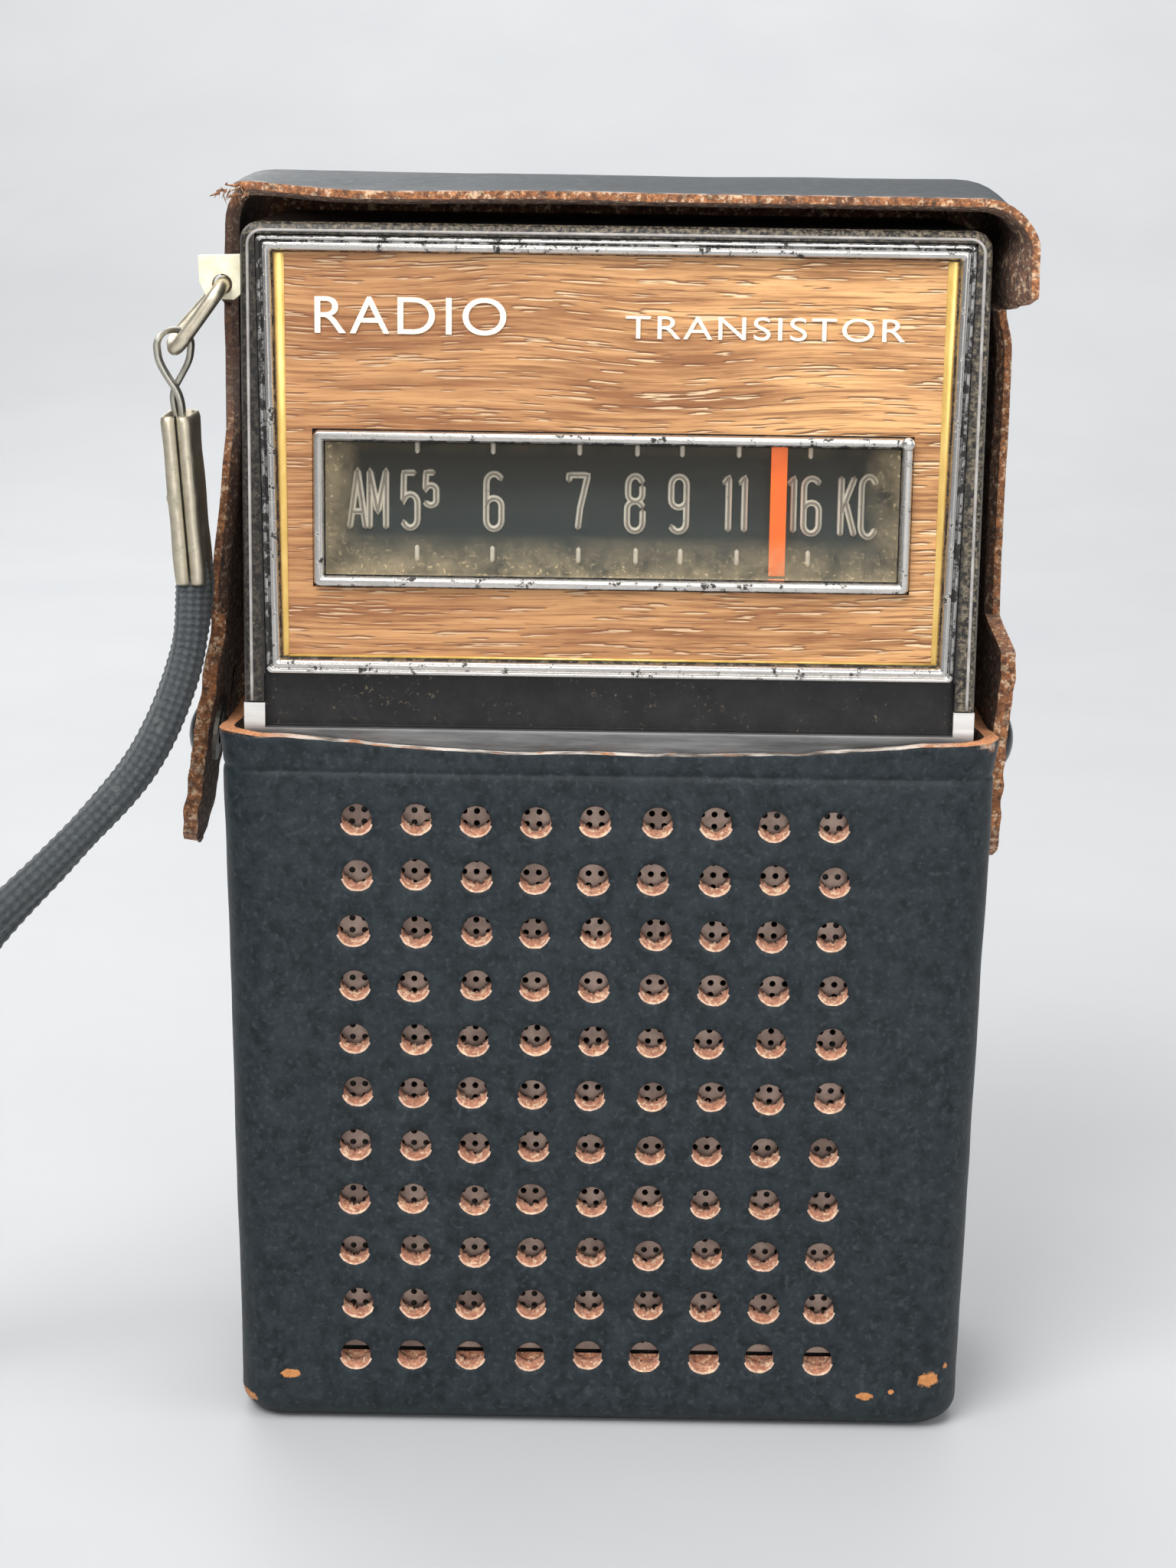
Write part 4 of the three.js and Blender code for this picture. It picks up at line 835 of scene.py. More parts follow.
def foot_lining():
    """The turned-up strip of raw leather inside the pocket's foot, seen through the lowest holes."""
    half, low, high = 31.5, POCKET_LOW.z + LEATHER + 0.7, GRILLE_LOW.z - 0.35
    front = POCKET_LOW.y + LEATHER + 0.06
    rows = []
    for depth in (0.0, 0.12):
        outline = rounded_rectangle(-half, half, low, high, 0.8)
        rows.append([(x, front + depth, z + 0.08 * ripple(x, 0, z, 1.5)) for x, z in outline])
    rings("pocket_foot_lining", "radio", rows, [PUNCHED], capped=True)


# ---------------------------------------------------------------- leather hood
HOOD_CORNER = 5.2
HOOD_BACK_ROUND = 4.0
LEG, CORNER_STEPS, TOP_STEPS = 44, 9, 64
WALL_BOTTOM = 78.2  # where the side walls end and the tabs begin
WALL_FOOT = 62.0  # the lower end of the side walls behind the tabs
TAB_STRETCH = 2.0  # how much longer the tabs' worn leather is than their CAD parts
TAB_BACK = corners("hood_tab_right")[1].y


def hood_bottom(x):
    """The lower edge of the hood's leather, from the side walls down to the riveted foot."""
    x = abs(x)
    outline = [(0, ANCHOR_LOW.z), (26, ANCHOR_LOW.z), (28.5, ANCHOR_LOW.z + 1.5), (33, 43), (34, 46.5)]
    outline += [(34.3, 56), (34.8, 59.5), (35.8, 61.4), (37, WALL_FOOT), (HOOD_HIGH.x + 1, WALL_FOOT)]
    for (x0, z0), (x1, z1) in zip(outline, outline[1:]):
        if x <= x1:
            return lerp(z0, z1, (x - x0) / (x1 - x0))
    return WALL_FOOT


def hood_arch(inset, low=None):
    """The arch of points (x, z) up the left leg, over the top and down the right one."""
    half, top = HOOD_HIGH.x - inset, HOOD_HIGH.z - inset
    radius = min(HOOD_CORNER, half)
    low = low or hood_bottom(half)
    heights = [lerp(low, top - radius, (i / LEG) ** 0.9) for i in range(LEG)]
    arch = [(-half, z) for z in heights]
    arch += arc(-half + radius, top - radius, radius, radius, 180, 90, CORNER_STEPS)[:-1]
    arch += [(lerp(-half + radius, half - radius, i / TOP_STEPS), top) for i in range(TOP_STEPS)]
    arch += arc(half - radius, top - radius, radius, radius, 90, 0, CORNER_STEPS)[:-1]
    return arch + [(half, z) for z in [top - radius] + heights[::-1]]


def hood_front(x, z):
    """Where the hood's front edge is. Its sides are cut back for the strap's lug and the thumbwheels."""
    lip = HOOD_LOW.y
    if x > 30 and z < 114:
        return lerp(1.5, lip, smooth(108.3, 109.7, z)) - 0.6 * smooth(81, WALL_BOTTOM, z)
    if x < -34.0 and z < 114.5:
        return lerp(lerp(-6, -2, smooth(WALL_BOTTOM, 94, z)), 8, smooth(91, 103, z))
    if x < -34.0:
        return lerp(8, lip, smooth(-HOOD_HIGH.x + 0.8, -34.2, x))
    return lip


def side_out(side, y, z):
    """How far the hood's side leather, wall or tab, stands out from the plain wall."""
    wave = 0.28 * ripple(side * 40, y, z, 17) + 0.08 * ripple(side * 40, y, z, 5)
    if side < 0:
        lean = -0.8 * smooth(80, 92, z) * smooth(114, 104, z) * smooth(9, 0, y)
        splay = math.tan(math.radians(9.5)) * (smooth(80, 72, z) * 0.6 + max(0.0, 76.4 - z))
        return wave + lean + splay
    shoulder = 0.6 * smooth(0, -7, y) * smooth(66, 75, z) * smooth(84, 78, z)
    bell = -1.3 * smooth(HOOD_LOW.y + 0.6, -9, y) * smooth(9, -3, y) * smooth(104, 109, z)
    return wave * 0.6 + shoulder + bell - 0.25 * smooth(70, 58, z)


def hood_shape(x, y, z):
    """Pushes the leather out of its plain shape: waves, drooping lip, raised left end."""
    side = math.copysign(1, x)
    on_side = smooth(34.5, 38, abs(x)) * smooth(118.5, 112, z)
    on_top = smooth(113, 118, z)
    forward = smooth(6, HOOD_LOW.y, y)
    wave = 0.2 * ripple(x, y, z, 19) + 0.07 * ripple(x, y, z, 6)
    left = smooth(-22, -35, x)
    droop = -1.15 + 0.75 * left
    dx = side * side_out(side, y, z) * on_side
    dz = on_top * (wave + droop * forward + 0.25 * smooth(18, 4, y))
    dy = wave * smooth(12, 17, y)
    return x + dx, y + dy, z + dz


def leather_hood():
    above_tabs = hood_arch(0, WALL_BOTTOM)
    arch = hood_arch(0)
    rows = []
    straight = HOOD_HIGH.y - HOOD_BACK_ROUND
    slit = TAB_BACK + 0.5
    for i in range(14):
        row = []
        for x, z in above_tabs:
            front = hood_front(x, z) + 0.22 * ripple(x, 0, z, 1.7) * (1 if i == 0 else 0)
            row.append((x, lerp(front, slit, (i / 13) ** 1.2), z))
        rows.append(row)
    rows += [[(x, y, z) for x, z in arch] for y in (slit + 0.8, (slit + straight) / 2)]
    for i in range(7):
        angle = math.radians(15 * i)
        inset = HOOD_BACK_ROUND * (1 - math.cos(angle))
        rows.append([(x, straight + HOOD_BACK_ROUND * math.sin(angle), z) for x, z in hood_arch(inset)])
    reach = HOOD_HIGH.x - HOOD_BACK_ROUND
    for i in range(1, 21):
        inset = HOOD_BACK_ROUND + (reach - 0.3) * i / 20
        rows.append([(x, HOOD_HIGH.y, z) for x, z in hood_arch(inset)])
    points = [hood_shape(*p) for row in rows for p in row]
    faces = grid_faces(len(rows), len(arch))
    last = (len(rows) - 1) * len(arch)
    ahead = [last + k for k in range(len(arch))]
    faces += [(ahead[k], ahead[k + 1], ahead[-k - 2], ahead[-k - 1]) for k in range(len(arch) // 2 - 1)]
    hood = build("leather_hood", None, points, faces, HIDE)
    skived = [smooth(0, 3, row) for row in range(len(rows)) for _ in arch]
    thicken(hood, 0.28, skived)
    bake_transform(hood)
    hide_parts("case_hood", "hood_anchor")


def torn_fibres():
    """Loose fibres at the torn left end of the hood's front edge."""
    points, faces = [], []
    for _ in range(34):
        start = Vector((dice.uniform(-35.9, -33.2), HOOD_LOW.y + dice.uniform(-0.1, 0.5), HOOD_HIGH.z - 0.9))
        start.z += dice.uniform(-0.7, 0.4)
        way = Vector((dice.uniform(-1, 0.3), dice.uniform(-0.8, 0.1), dice.uniform(-0.9, 0.3))).normalized()
        curl = Vector((0, dice.uniform(-0.3, 0.3), dice.uniform(-0.5, 0.3)))
        length = dice.uniform(0.4, 1.3)
        for k in range(6):
            share = k / 5
            middle = start + way * length * share + curl * share * share
            radius = lerp(0.2, 0.04, share)
            for angle in (0, 2.1, 4.2):
                points.append(middle + Vector((0, math.cos(angle), math.sin(angle))) * radius)
        base = len(points) - 18
        faces += [tuple(base + v for v in face) for face in grid_faces(6, 3, closed=True)]
        faces += [(base + 2, base + 1, base), (base + 15, base + 16, base + 17)]
    build("hood_torn_fibres", "hood", points, faces, [RAW])


def leather_tab(side):
    """The hood's snap tab. The left one hangs outwards and the right one has a flared shoulder."""
    label = "right" if side > 0 else "left"
    low, high = corners(f"hood_tab_{label}")
    front, back, tip = low.y, high.y, low.z - TAB_STRETCH
    rows = []
    levels, columns = 40, 22
    for i in range(levels + 1):
        share = i / levels
        below = max(0.0, (lerp(WALL_BOTTOM, tip, share) - tip - 6.5) / -6.5)
        pull = (back - front) / 2 * (1 - math.sqrt(max(0.0, 1 - below**2.4)))
        row = []
        for j in range(columns + 1):
            y = lerp(front + pull, back - pull, j / columns)
            ragged = 0.34 * ripple(side * 9, y, share * 20, 1.3) if j in (0, columns) and share > 0.02 else 0
            lump = 0.22 * ripple(side * 5, y, share * 24, 1.7) * smooth(2.5, 0, min(j, columns - j))
            head = WALL_BOTTOM - (2.3 * smooth(1.5, front, y) if side > 0 else 0)
            z = lerp(head, tip, share)
            row.append((side * (HOOD_HIGH.x + side_out(side, y, z) + lump), y + ragged, z))
        rows.append(row)
    faces = grid_faces(levels + 1, columns + 1)
    faces = [face[::-1] for face in faces] if side > 0 else faces
    points = [p for row in rows for p in row]
    tab = build(f"leather_tab_{label}", None, points, faces, HIDE)
    thicken(tab, 0.15)
    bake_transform(tab)
    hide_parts(f"hood_tab_{label}")


# ---------------------------------------------------------------- dial and front
def skewed(points):
    """The front frame is a little narrower at its foot than at its head."""
    head, foot = FRAME_HIGH.x, FRAME_HIGH.x - 0.7
    share = [(z - FRAME_LOW.z) / (FRAME_HIGH.z - FRAME_LOW.z) for _, z in points]
    return [(x * lerp(foot, head, s) / head, z) for (x, z), s in zip(points, share)]


def frame_outline(inset):
    low, high = FRAME_LOW, FRAME_HIGH
    radius = max(0.12, 0.5 - inset * 0.2)
    plain = rounded_rectangle(low.x + inset, high.x - inset, low.z + inset, high.z - inset, radius)
    return skewed(plain)


def bezel_outline(inset):
    low, high = BEZEL_LOW, BEZEL_HIGH
    radius = max(0.12, 0.6 - inset * 0.6)
    return rounded_rectangle(low.x + inset, high.x - inset, low.z + inset, high.z - inset, radius)


def side_of(a, b, low, high):
    """Which side of a frame the stretch from a to b lies on: left, right, foot or head."""
    x, z = (a[0] + b[0]) / 2, (a[1] + b[1]) / 2
    gaps = {"left": x - low.x, "right": high.x - x, "foot": z - low.z, "head": high.z - z}
    return min(gaps, key=gaps.get)


def moulding(name, outline, profile, replaced):
    """A picture-frame moulding.

    A profile point is (inset, y, the sides on which the plating is lost up to the next point)."""
    low, high = corners(replaced)
    loops = [[(x, y, z) for x, z in outline(inset)] for inset, y, _ in profile]
    rim = outline(0.0)
    sides = [side_of(a, b, low, high) for a, b in zip(rim, rim[1:] + rim[:1])]
    looks = [int(side in lost) for _, _, lost in profile for side in sides]
    made = rings(name, "radio", loops, [CHROME, LOST_CHROME], closed_profile=True, looks=looks)
    soften(made, 0.05, angle=25)
    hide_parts(replaced)


def front_mouldings():
    face = FRAME_LOW.y
    uprights, everywhere = ("left", "right"), ("left", "right", "foot", "head")
    not_foot = ("left", "right", "head")
    ridge = [(0.0, face + 1.6, not_foot), (0.0, face + 0.14, not_foot), (0.12, face, uprights)]
    ridge += [(0.34, face, not_foot), (0.44, face + 0.2, not_foot), (0.54, face + 0.2, uprights)]
    ridge += [(0.62, face + 0.06, ()), (0.9, face + 0.0, ()), (1.22, face + 0.12, ())]
    ridge += [(1.32, face + 0.34, everywhere), (1.46, face + 0.8, everywhere), (1.46, face + 1.0, ())]
    ridge += [(1.05, face + 1.0, ()), (1.05, face + 1.6, ())]
    moulding("front_frame_ridges", frame_outline, ridge, "chrome_frame")
    lip = BEZEL_LOW.y
    step = [(0.0, lip + 1.45, everywhere), (0.0, lip + 0.3, ("foot",))]
    step += [(0.14, lip + 0.02, ()), (0.2, lip, ())]
    step += [(0.66, lip, ()), (0.78, lip + 0.08, ("head",)), (0.98, lip + 0.4, everywhere)]
    step += [(0.98, lip + 1.45, ())]
    moulding("dial_bezel_ridge", bezel_outline, step, "dial_bezel")
    knob = [(0.6, 0.5), (0.62, 0.0), (0.55, -0.14), (0.34, -0.22), (0.0, -0.24)]
    corner = (BEZEL_HIGH.x - 0.5, BEZEL_LOW.y, BEZEL_HIGH.z - 0.5)
    turned("dial_bezel_corner_pip", "radio", knob[::-1], corner, (0, 1, 0), CHROME, 24)


def cabinet_bead():
    """The raised line moulded round the cabinet's face, its crest grey from wear and a painted highlight."""
    low, high = corners("front_cabinet")
    left, right, top = low.x + 0.75, high.x - 0.75, high.z - 0.75
    bend = 1.3
    over = arc(left + bend, top - bend, bend, bend, 180, 90, 6)
    over += arc(right - bend, top - bend, bend, bend, 90, 0, 6)
    route = [(left, GRILLE_HIGH.z + 0.2), *over, (right, GRILLE_HIGH.z + 0.2)]
    path = resampled([(x, low.y, z) for x, z in route], 1.0)
    sweep("cabinet_face_bead", "radio", path, lambda *_: 0.15, [BEAD_WEAR_AND_HIGHLIGHT], sides=8)


def gold_edges():
    """The panel's bright bevelled ends, which narrow towards the foot."""
    front = PANEL_LOW.y - 0.22
    for side, label in ((-1, "left"), (1, "right")):
        edge = side * (PANEL_HIGH.x - 0.35)
        loops = []
        for z, width in ((PANEL_LOW.z + 0.35, 0.55), (PANEL_HIGH.z - 0.35, 0.95)):
            section = [(0, 0.3), (0, 0.05), (0.2, 0), (width, 0.14), (width, 0.3)]
            scale = skewed([(edge, z)])[0][0]
            loops.append([(scale - side * inset, front + depth, z) for inset, depth in section])
        strip = rings(f"panel_gold_edge_{label}", "radio", loops, [GOLD], capped=True)
        soften(strip, 0.05)
    low = PANEL_LOW.z + 0.3
    half = PANEL_HIGH.x - 1.6
    section = [(low, 0.25), (low, 0.02), (low + 0.1, 0), (low + 0.22, 0.05), (low + 0.22, 0.25)]
    loops = [[(x, front + depth, z) for z, depth in section] for x in (-half, half)]
    rings("panel_gold_edge_foot", "radio", loops, [GOLD], capped=True)


def lettering(name, words, left, bottom, height, width):
    """Plain raised capitals on the wood panel."""
    curve = bpy.data.curves.new(name, "FONT")
    curve.body = words
    curve.extrude = 0.06 * MM
    curve.bevel_depth = 0.03 * MM
    curve.space_character = 1.12
    text = bpy.data.objects.new(name, curve)
    bpy.context.scene.collection.objects.link(text)
    bpy.context.view_layer.update()
    size = text.dimensions
    mesh = bpy.data.meshes.new_from_object(text)
    low_x = min(v.co.x for v in mesh.vertices)
    low_y = min(v.co.y for v in mesh.vertices)
    stretch = Matrix.Diagonal((width * MM / size.x, height * MM / size.y, 1, 1))
    mesh.transform(Matrix.Translation((-low_x, -low_y, 0)))
    mesh.transform(stretch)
    mesh.transform(Matrix.Rotation(math.radians(90), 4, "X"))
    mesh.transform(Matrix.Translation(Vector((left, PANEL_LOW.y - 0.07, bottom)) * MM))
    bpy.data.objects.remove(text)
    mesh.materials.clear()
    mesh.materials.append(CREAM)
    made = bpy.data.objects.new(name, mesh)
    bpy.context.scene.collection.objects.link(made)
    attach(made, "radio")


def figures():
    """Each figure is strokes of points in a box that is 1 wide and 1 tall."""
    bowl = arc(0.5, 0.45, 0.45, 0.16, 175, 0, 8) + arc(0.5, 0.16, 0.45, 0.16, 0, -175, 8)
    nine = arc(0.5, 0.16, 0.45, 0.16, 190, 360, 8) + arc(0.5, 0.84, 0.45, 0.16, 0, 180, 8)
    nine += arc(0.5, 0.58, 0.45, 0.14, 180, 360, 8)
    oval = arc(0.5, 0.84, 0.42, 0.16, 0, 180, 8) + arc(0.5, 0.67, 0.42, 0.13, 180, 360, 8)
    lower = arc(0.5, 0.4, 0.46, 0.14, 0, 180, 8) + arc(0.5, 0.16, 0.46, 0.16, 180, 360, 8)
    return {
        "A": [[(0.02, 0), (0.5, 1), (0.98, 0)], [(0.2, 0.3), (0.8, 0.3)]],
        "M": [[(0.02, 0), (0.02, 1), (0.5, 0.3), (0.98, 1), (0.98, 0)]],
        "5": [[(0.9, 1), (0.1, 1), (0.06, 0.52)] + bowl],
        "6": [[(1 - x, 1 - z) for x, z in nine]],
        "7": [[(0.02, 0.86), (0.02, 1), (1, 1), (0.62, 0.4), (0.5, 0)]],
        "8": [oval + oval[:1], lower + lower[:1]],
        "9": [nine],
        "1": [[(0.1, 0.86), (0.7, 1), (0.7, 0)]],
        "K": [[(0.05, 0), (0.05, 1)], [(0.95, 1), (0.08, 0.4)], [(0.35, 0.58), (1, 0)]],
        "C": [arc(0.5, 0.82, 0.45, 0.18, 10, 180, 8) + arc(0.5, 0.18, 0.45, 0.18, 180, 350, 8)],
    }


def resampled(points, gap):
    """Points at even distances along a polyline, its ends kept."""
    points = [Vector(p) for p in points]
    out = [points[0]]
    for a, b in zip(points, points[1:]):
        pieces = max(1, round((b - a).length / gap))
        out += [a.lerp(b, k / pieces) for k in range(1, pieces + 1)]
    return out


def stroke(name, body, path, radius, material):
    """A rounded bar along a path, with round ends."""
    path = resampled(path, radius * 0.7)
    reach = sum((b - a).length for a, b in zip(path, path[1:]))

    def size(share, _):
        from_end = min(share, 1 - share) * reach
        inside = max(0.0, 1 - from_end / radius)
        return radius * math.sqrt(max(0.02, 1 - inside * inside))

    return sweep(name, body, path, size, [material], sides=8)


def dial_figures():
    shapes = figures()
    front = SCALE_LOW.y
    middle = (BEZEL_LOW.z + BEZEL_HIGH.z) / 2 + 0.25
    plan = [("A", -24.7, 1.6, 5.6, 0), ("M", -22.8, 1.6, 5.6, 0), ("5", -19.7, 1.5, 5.2, 0)]
    plan += [("5", -17.6, 1.15, 3.1, 1.1), ("6", -11.9, 1.6, 5.2, 0), ("7", -4.1, 1.8, 5.2, 0)]
    plan += [("8", 1.35, 1.6, 5.2, 0), ("9", 5.45, 1.6, 5.2, 0), ("1", 10.3, 0.9, 5.2, 0)]
    plan += [("1", 11.8, 0.9, 5.2, 0), ("1", 16.4, 0.9, 5.2, 0), ("6", 17.9, 1.6, 5.2, 0)]
    plan += [("K", 21.4, 1.4, 5.7, 0), ("C", 23.3, 1.5, 5.7, 0)]
    for number, (letter, left, width, height, lift) in enumerate(plan):
        for part, points in enumerate(shapes[letter]):
            path = [(left + x * width, front, middle - height / 2 + lift + z * height) for x, z in points]
            name = f"dial_figure_{number + 1}_{part + 1}"
            stroke(name, "radio", path, 0.33, FIGURE)
            inner = [(x, y - 0.24, z) for x, y, z in path]
            stroke(name + "_face", "radio", inner, 0.13, FIGURE_DARK)
    for number, x in enumerate((-18.3, -11.2, -3.1, 2.3, 6.5, 11.8, 18.5)):
        for label, low, high in (("top", 94.6, 96.6), ("foot", 84.4, 86.0)):
            path = [(x, front - 0.05, low), (x, front - 0.05, high)]
            stroke(f"dial_tick_{label}_{number + 1}", "radio", path, 0.24, FIGURE)


def speaker_grille():
    """The perforated sheet: small round holes in a square pattern behind the pocket's holes."""
    pitch, radius, sides = 1.18, 0.31, 8
    columns, rows = 46, 49
    left, bottom = HOLE_MIDDLE_X - columns * pitch / 2, 7.8
    front, depth = GRILLE_LOW.y, 0.6
    points, faces, index = [], [], {}

    def corner(i, j):
        if (i, j) not in index:
            index[i, j] = len(points)
            points.append((left + i * pitch / 2, front, bottom + j * pitch / 2))
        return index[i, j]

    for row in range(rows):
        for column in range(columns):
            i, j = column * 2, row * 2
            border = [corner(i, j), corner(i + 1, j), corner(i + 2, j), corner(i + 2, j + 1)]
            border += [corner(i + 2, j + 2), corner(i + 1, j + 2), corner(i, j + 2), corner(i, j + 1)]
            x, z = left + (column + 0.5) * pitch, bottom + (row + 0.5) * pitch
            ring = []
            for k in border:
                angle = math.atan2(points[k][2] - z, points[k][0] - x)
                ring.append(len(points))
                points.append((x + radius * math.cos(angle), front, z + radius * math.sin(angle)))
            for k in range(sides):
                after = (k + 1) % sides
                faces.append((border[k], border[after], ring[after], ring[k]))
    plain_edges(points, faces, index, columns * 2, rows * 2)
    sheet = build("grille_perforated", "radio", points, faces, [ALUMINIUM])
    solid = sheet.modifiers.new("thicken", "SOLIDIFY")
    solid.thickness = depth * MM
    solid.offset = -1
    sheet.data.polygons.foreach_set("use_smooth", [False] * len(sheet.data.polygons))
    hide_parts("speaker_grille")


def plain_edges(points, faces, index, across, up):
    """The unpunched border of the grille, with an ear at each end of the ledge above it."""
    half, foot, ear = GRILLE_HIGH.x, GRILLE_LOW.z, GRILLE_HIGH.z
    ledge_half, ledge_z = corners("front_cabinet")[1].x - 1.95, 69.25
    start = len(points)
    front = GRILLE_LOW.y
    outer = [(-half, foot), (half, foot), (half, ear), (ledge_half, ear), (ledge_half, ledge_z)]
    outer += [(-ledge_half, ledge_z), (-ledge_half, ear), (-half, ear)]
    points.extend((x, front, z) for x, z in outer)
    lower = [index[i, 0] for i in range(across + 1)]
    upper = [index[i, up] for i in range(across + 1)]
    lefts = [index[0, j] for j in range(up + 1)]
    rights = [index[across, j] for j in range(up + 1)]
    faces.append(tuple([start, start + 1] + lower[::-1]))
    faces.append(tuple([start + 1, start + 2, start + 3, start + 4] + rights[::-1]))
    faces.append(tuple([start + 4, start + 5] + upper))
    faces.append(tuple([start + 5, start + 6, start + 7, start] + lefts))


# ---------------------------------------------------------------- strap
NEARER = 0.7  # how much nearer the radio the ferrule hangs than its CAD part
CORD_RADIUS = 1.62
RIVET_PROUD = 0.45  # how far the rivet stands out of the ferrule


def strap_link():
    """A stadium of wire between the lug and the strap's eye, a little twisted along its length."""
    along = (EYE_PIN - LINK_PIN).normalized()
    length = (EYE_PIN - LINK_PIN).length
    across = Vector((0, 1, 0))
    normal = along.cross(across)
    half, bend = 2.6, 1.5
    outline = rounded_rectangle(0, length, -half, half, bend, 8)
    path = []
    for u, v, _ in resampled([(u, v, 0) for u, v in outline + outline[:1]], 0.35)[:-1]:
        turn = math.radians(lerp(4, 12, u / length))
        path.append(LINK_PIN + along * u + (across * math.cos(turn) - normal * math.sin(turn)) * v)
    made = sweep("strap_link_wire", "link", path, lambda *_: 0.66, [NICKEL], sides=20, closed=True)
    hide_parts("strap_link")


def strap_eye():
    """A narrow strip that goes up from the ferrule, crosses itself, loops over the link and comes back."""
    z = EYE_PIN.z
    foot = FERRULE_HIGH.z - 1.4

    def leg(side):
        plan = [(0.2, foot), (0.5, foot + 1.7), (0.4, z - 4.3), (-0.5, z - 2.9), (-1.32, z - 1.4)]
        return [(lerp(ferrule_x(pz), EYE_PIN.x, smooth(foot, z - 2, pz)) + side * px, pz) for px, pz in plan]

    loop = arc(EYE_PIN.x, z, 1.48, 1.48, 190, -10, 14)
    route = smoothed(leg(1) + loop + leg(-1)[::-1])
    rows = []
    for i, (px, pz) in enumerate(route):
        middle = EYE_PIN.y + lerp(-0.85, 0.85, smooth(0.3, 0.7, i / (len(route) - 1)))
        rows.append([(px, middle + offset, pz) for offset in (-0.8, -0.4, 0.0, 0.4, 0.8)])
    points = [p for row in rows for p in row]
    eye = build("strap_eye_strip", "strap", points, grid_faces(len(rows), 5), [DULL_NICKEL])
    solid = eye.modifiers.new("thicken", "SOLIDIFY")
    solid.thickness = 0.52 * MM
    solid.offset = 0
    soften(eye, 0.12)
    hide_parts("strap_eye")


def smoothed(points, rounds=2):
    """Cuts a polyline's corners, its ends kept."""
    points = [Vector(p) for p in points]
    for _ in range(rounds):
        cut = [points[0]]
        for a, b in zip(points, points[1:]):
            cut += [a.lerp(b, 0.25), a.lerp(b, 0.75)]
        points = cut + [points[-1]]
    return [tuple(p) for p in points]


def ferrule_x(z):
    """The middle of the ferrule at one height: it leans towards the radio."""
    return (FERRULE_LOW.x + RIVET_PROUD + FERRULE_HIGH.x) / 2 + NEARER - 0.075 * (z - 90)


def strap_ferrule():
    """A sheet rolled round both legs of the cord, its two edges turned in to a seam along the front."""
    low, high = FERRULE_LOW, FERRULE_HIGH
    y = (low.y + high.y) / 2
    half_x, half_y = 1.42, (high.y - low.y) / 2
    bend = 0.8

    def section(grow, z):
        wide, deep = half_x + grow, half_y + grow
        lobe = wide / 2
        outline = arc(lobe, lobe - deep, lobe, lobe, 184, 360, 14)
        outline += arc(wide - bend, deep - bend, bend, bend, 0, 90, 6)
        outline += arc(bend - wide, deep - bend, bend, bend, 90, 180, 6)
        outline += arc(-lobe, lobe - deep, lobe, lobe, 180, 356, 14)
        loop = []
        for px, py in outline:
            dent = 0.09 * ripple(px, py, z, 3.2) + 0.03 * ripple(px, py, z, 0.8)
            loop.append((ferrule_x(z) + px * (1 + dent * 0.4), y + py + dent, z))
        return loop

    profile = [(-0.32, low.z + 0.12), (-0.12, low.z), (-0.02, low.z + 0.22)]
    profile += [(0.03 * math.sin(k), lerp(low.z + 0.6, high.z - 0.6, k / 14)) for k in range(15)]
    profile += [(-0.04, high.z - 0.24), (-0.16, high.z)]
    profile += [(-0.34, high.z - 0.1), (-0.34, high.z - 3), (-0.34, low.z + 3)]
    loops = [section(grow, z) for grow, z in profile]
    count = len(loops[0])
    looks = [int(j < 2 or j > count - 4) for _ in loops for j in range(count)]
    metals = [FERRULE_METAL, SEAM]
    name = "strap_ferrule_rolled"
    ferrule = rings(name, "strap", loops, metals, closed_profile=True, looks=looks)
    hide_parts("strap_ferrule")
    dome = [(0.75, 0.0), (0.78, 0.25), (0.62, 0.45), (0.34, 0.58), (0.0, 0.62)]
    place = (ferrule_x(90) - half_x + 0.05, y, 90)
    turned("strap_ferrule_rivet", "strap", dome, place, (-1, 0, 0), NICKEL, 24)


# Where the middle of the doubled cord runs below the ferrule.
CORD_MIDDLE = [
    (-40.5, -10.6, 74),
    (-44.4, -11.8, 65),
    (-51.6, -13.4, 56.6),
    (-60.6, -14.8, 47),
    (-68.2, -15.4, 35),
    (-74, -15, 22),
    (-79, -13.6, 10.5),
    (-85, -12, 4),
]


def catmull(points, steps):
    """A smooth curve through points, with steps samples between each two."""
    points = [Vector(p) for p in points]
    points = [2 * points[0] - points[1], *points, 2 * points[-1] - points[-2]]
    out = []
    for a, b, c, d in zip(points, points[1:], points[2:], points[3:]):
        for k in range(steps):
            t = k / steps
            bend = (2 * a - 5 * b + 4 * c - d) * t * t + (3 * b - a - 3 * c + d) * t**3
            out.append((2 * b + (c - a) * t + bend) / 2)
    return out + [points[-2]]


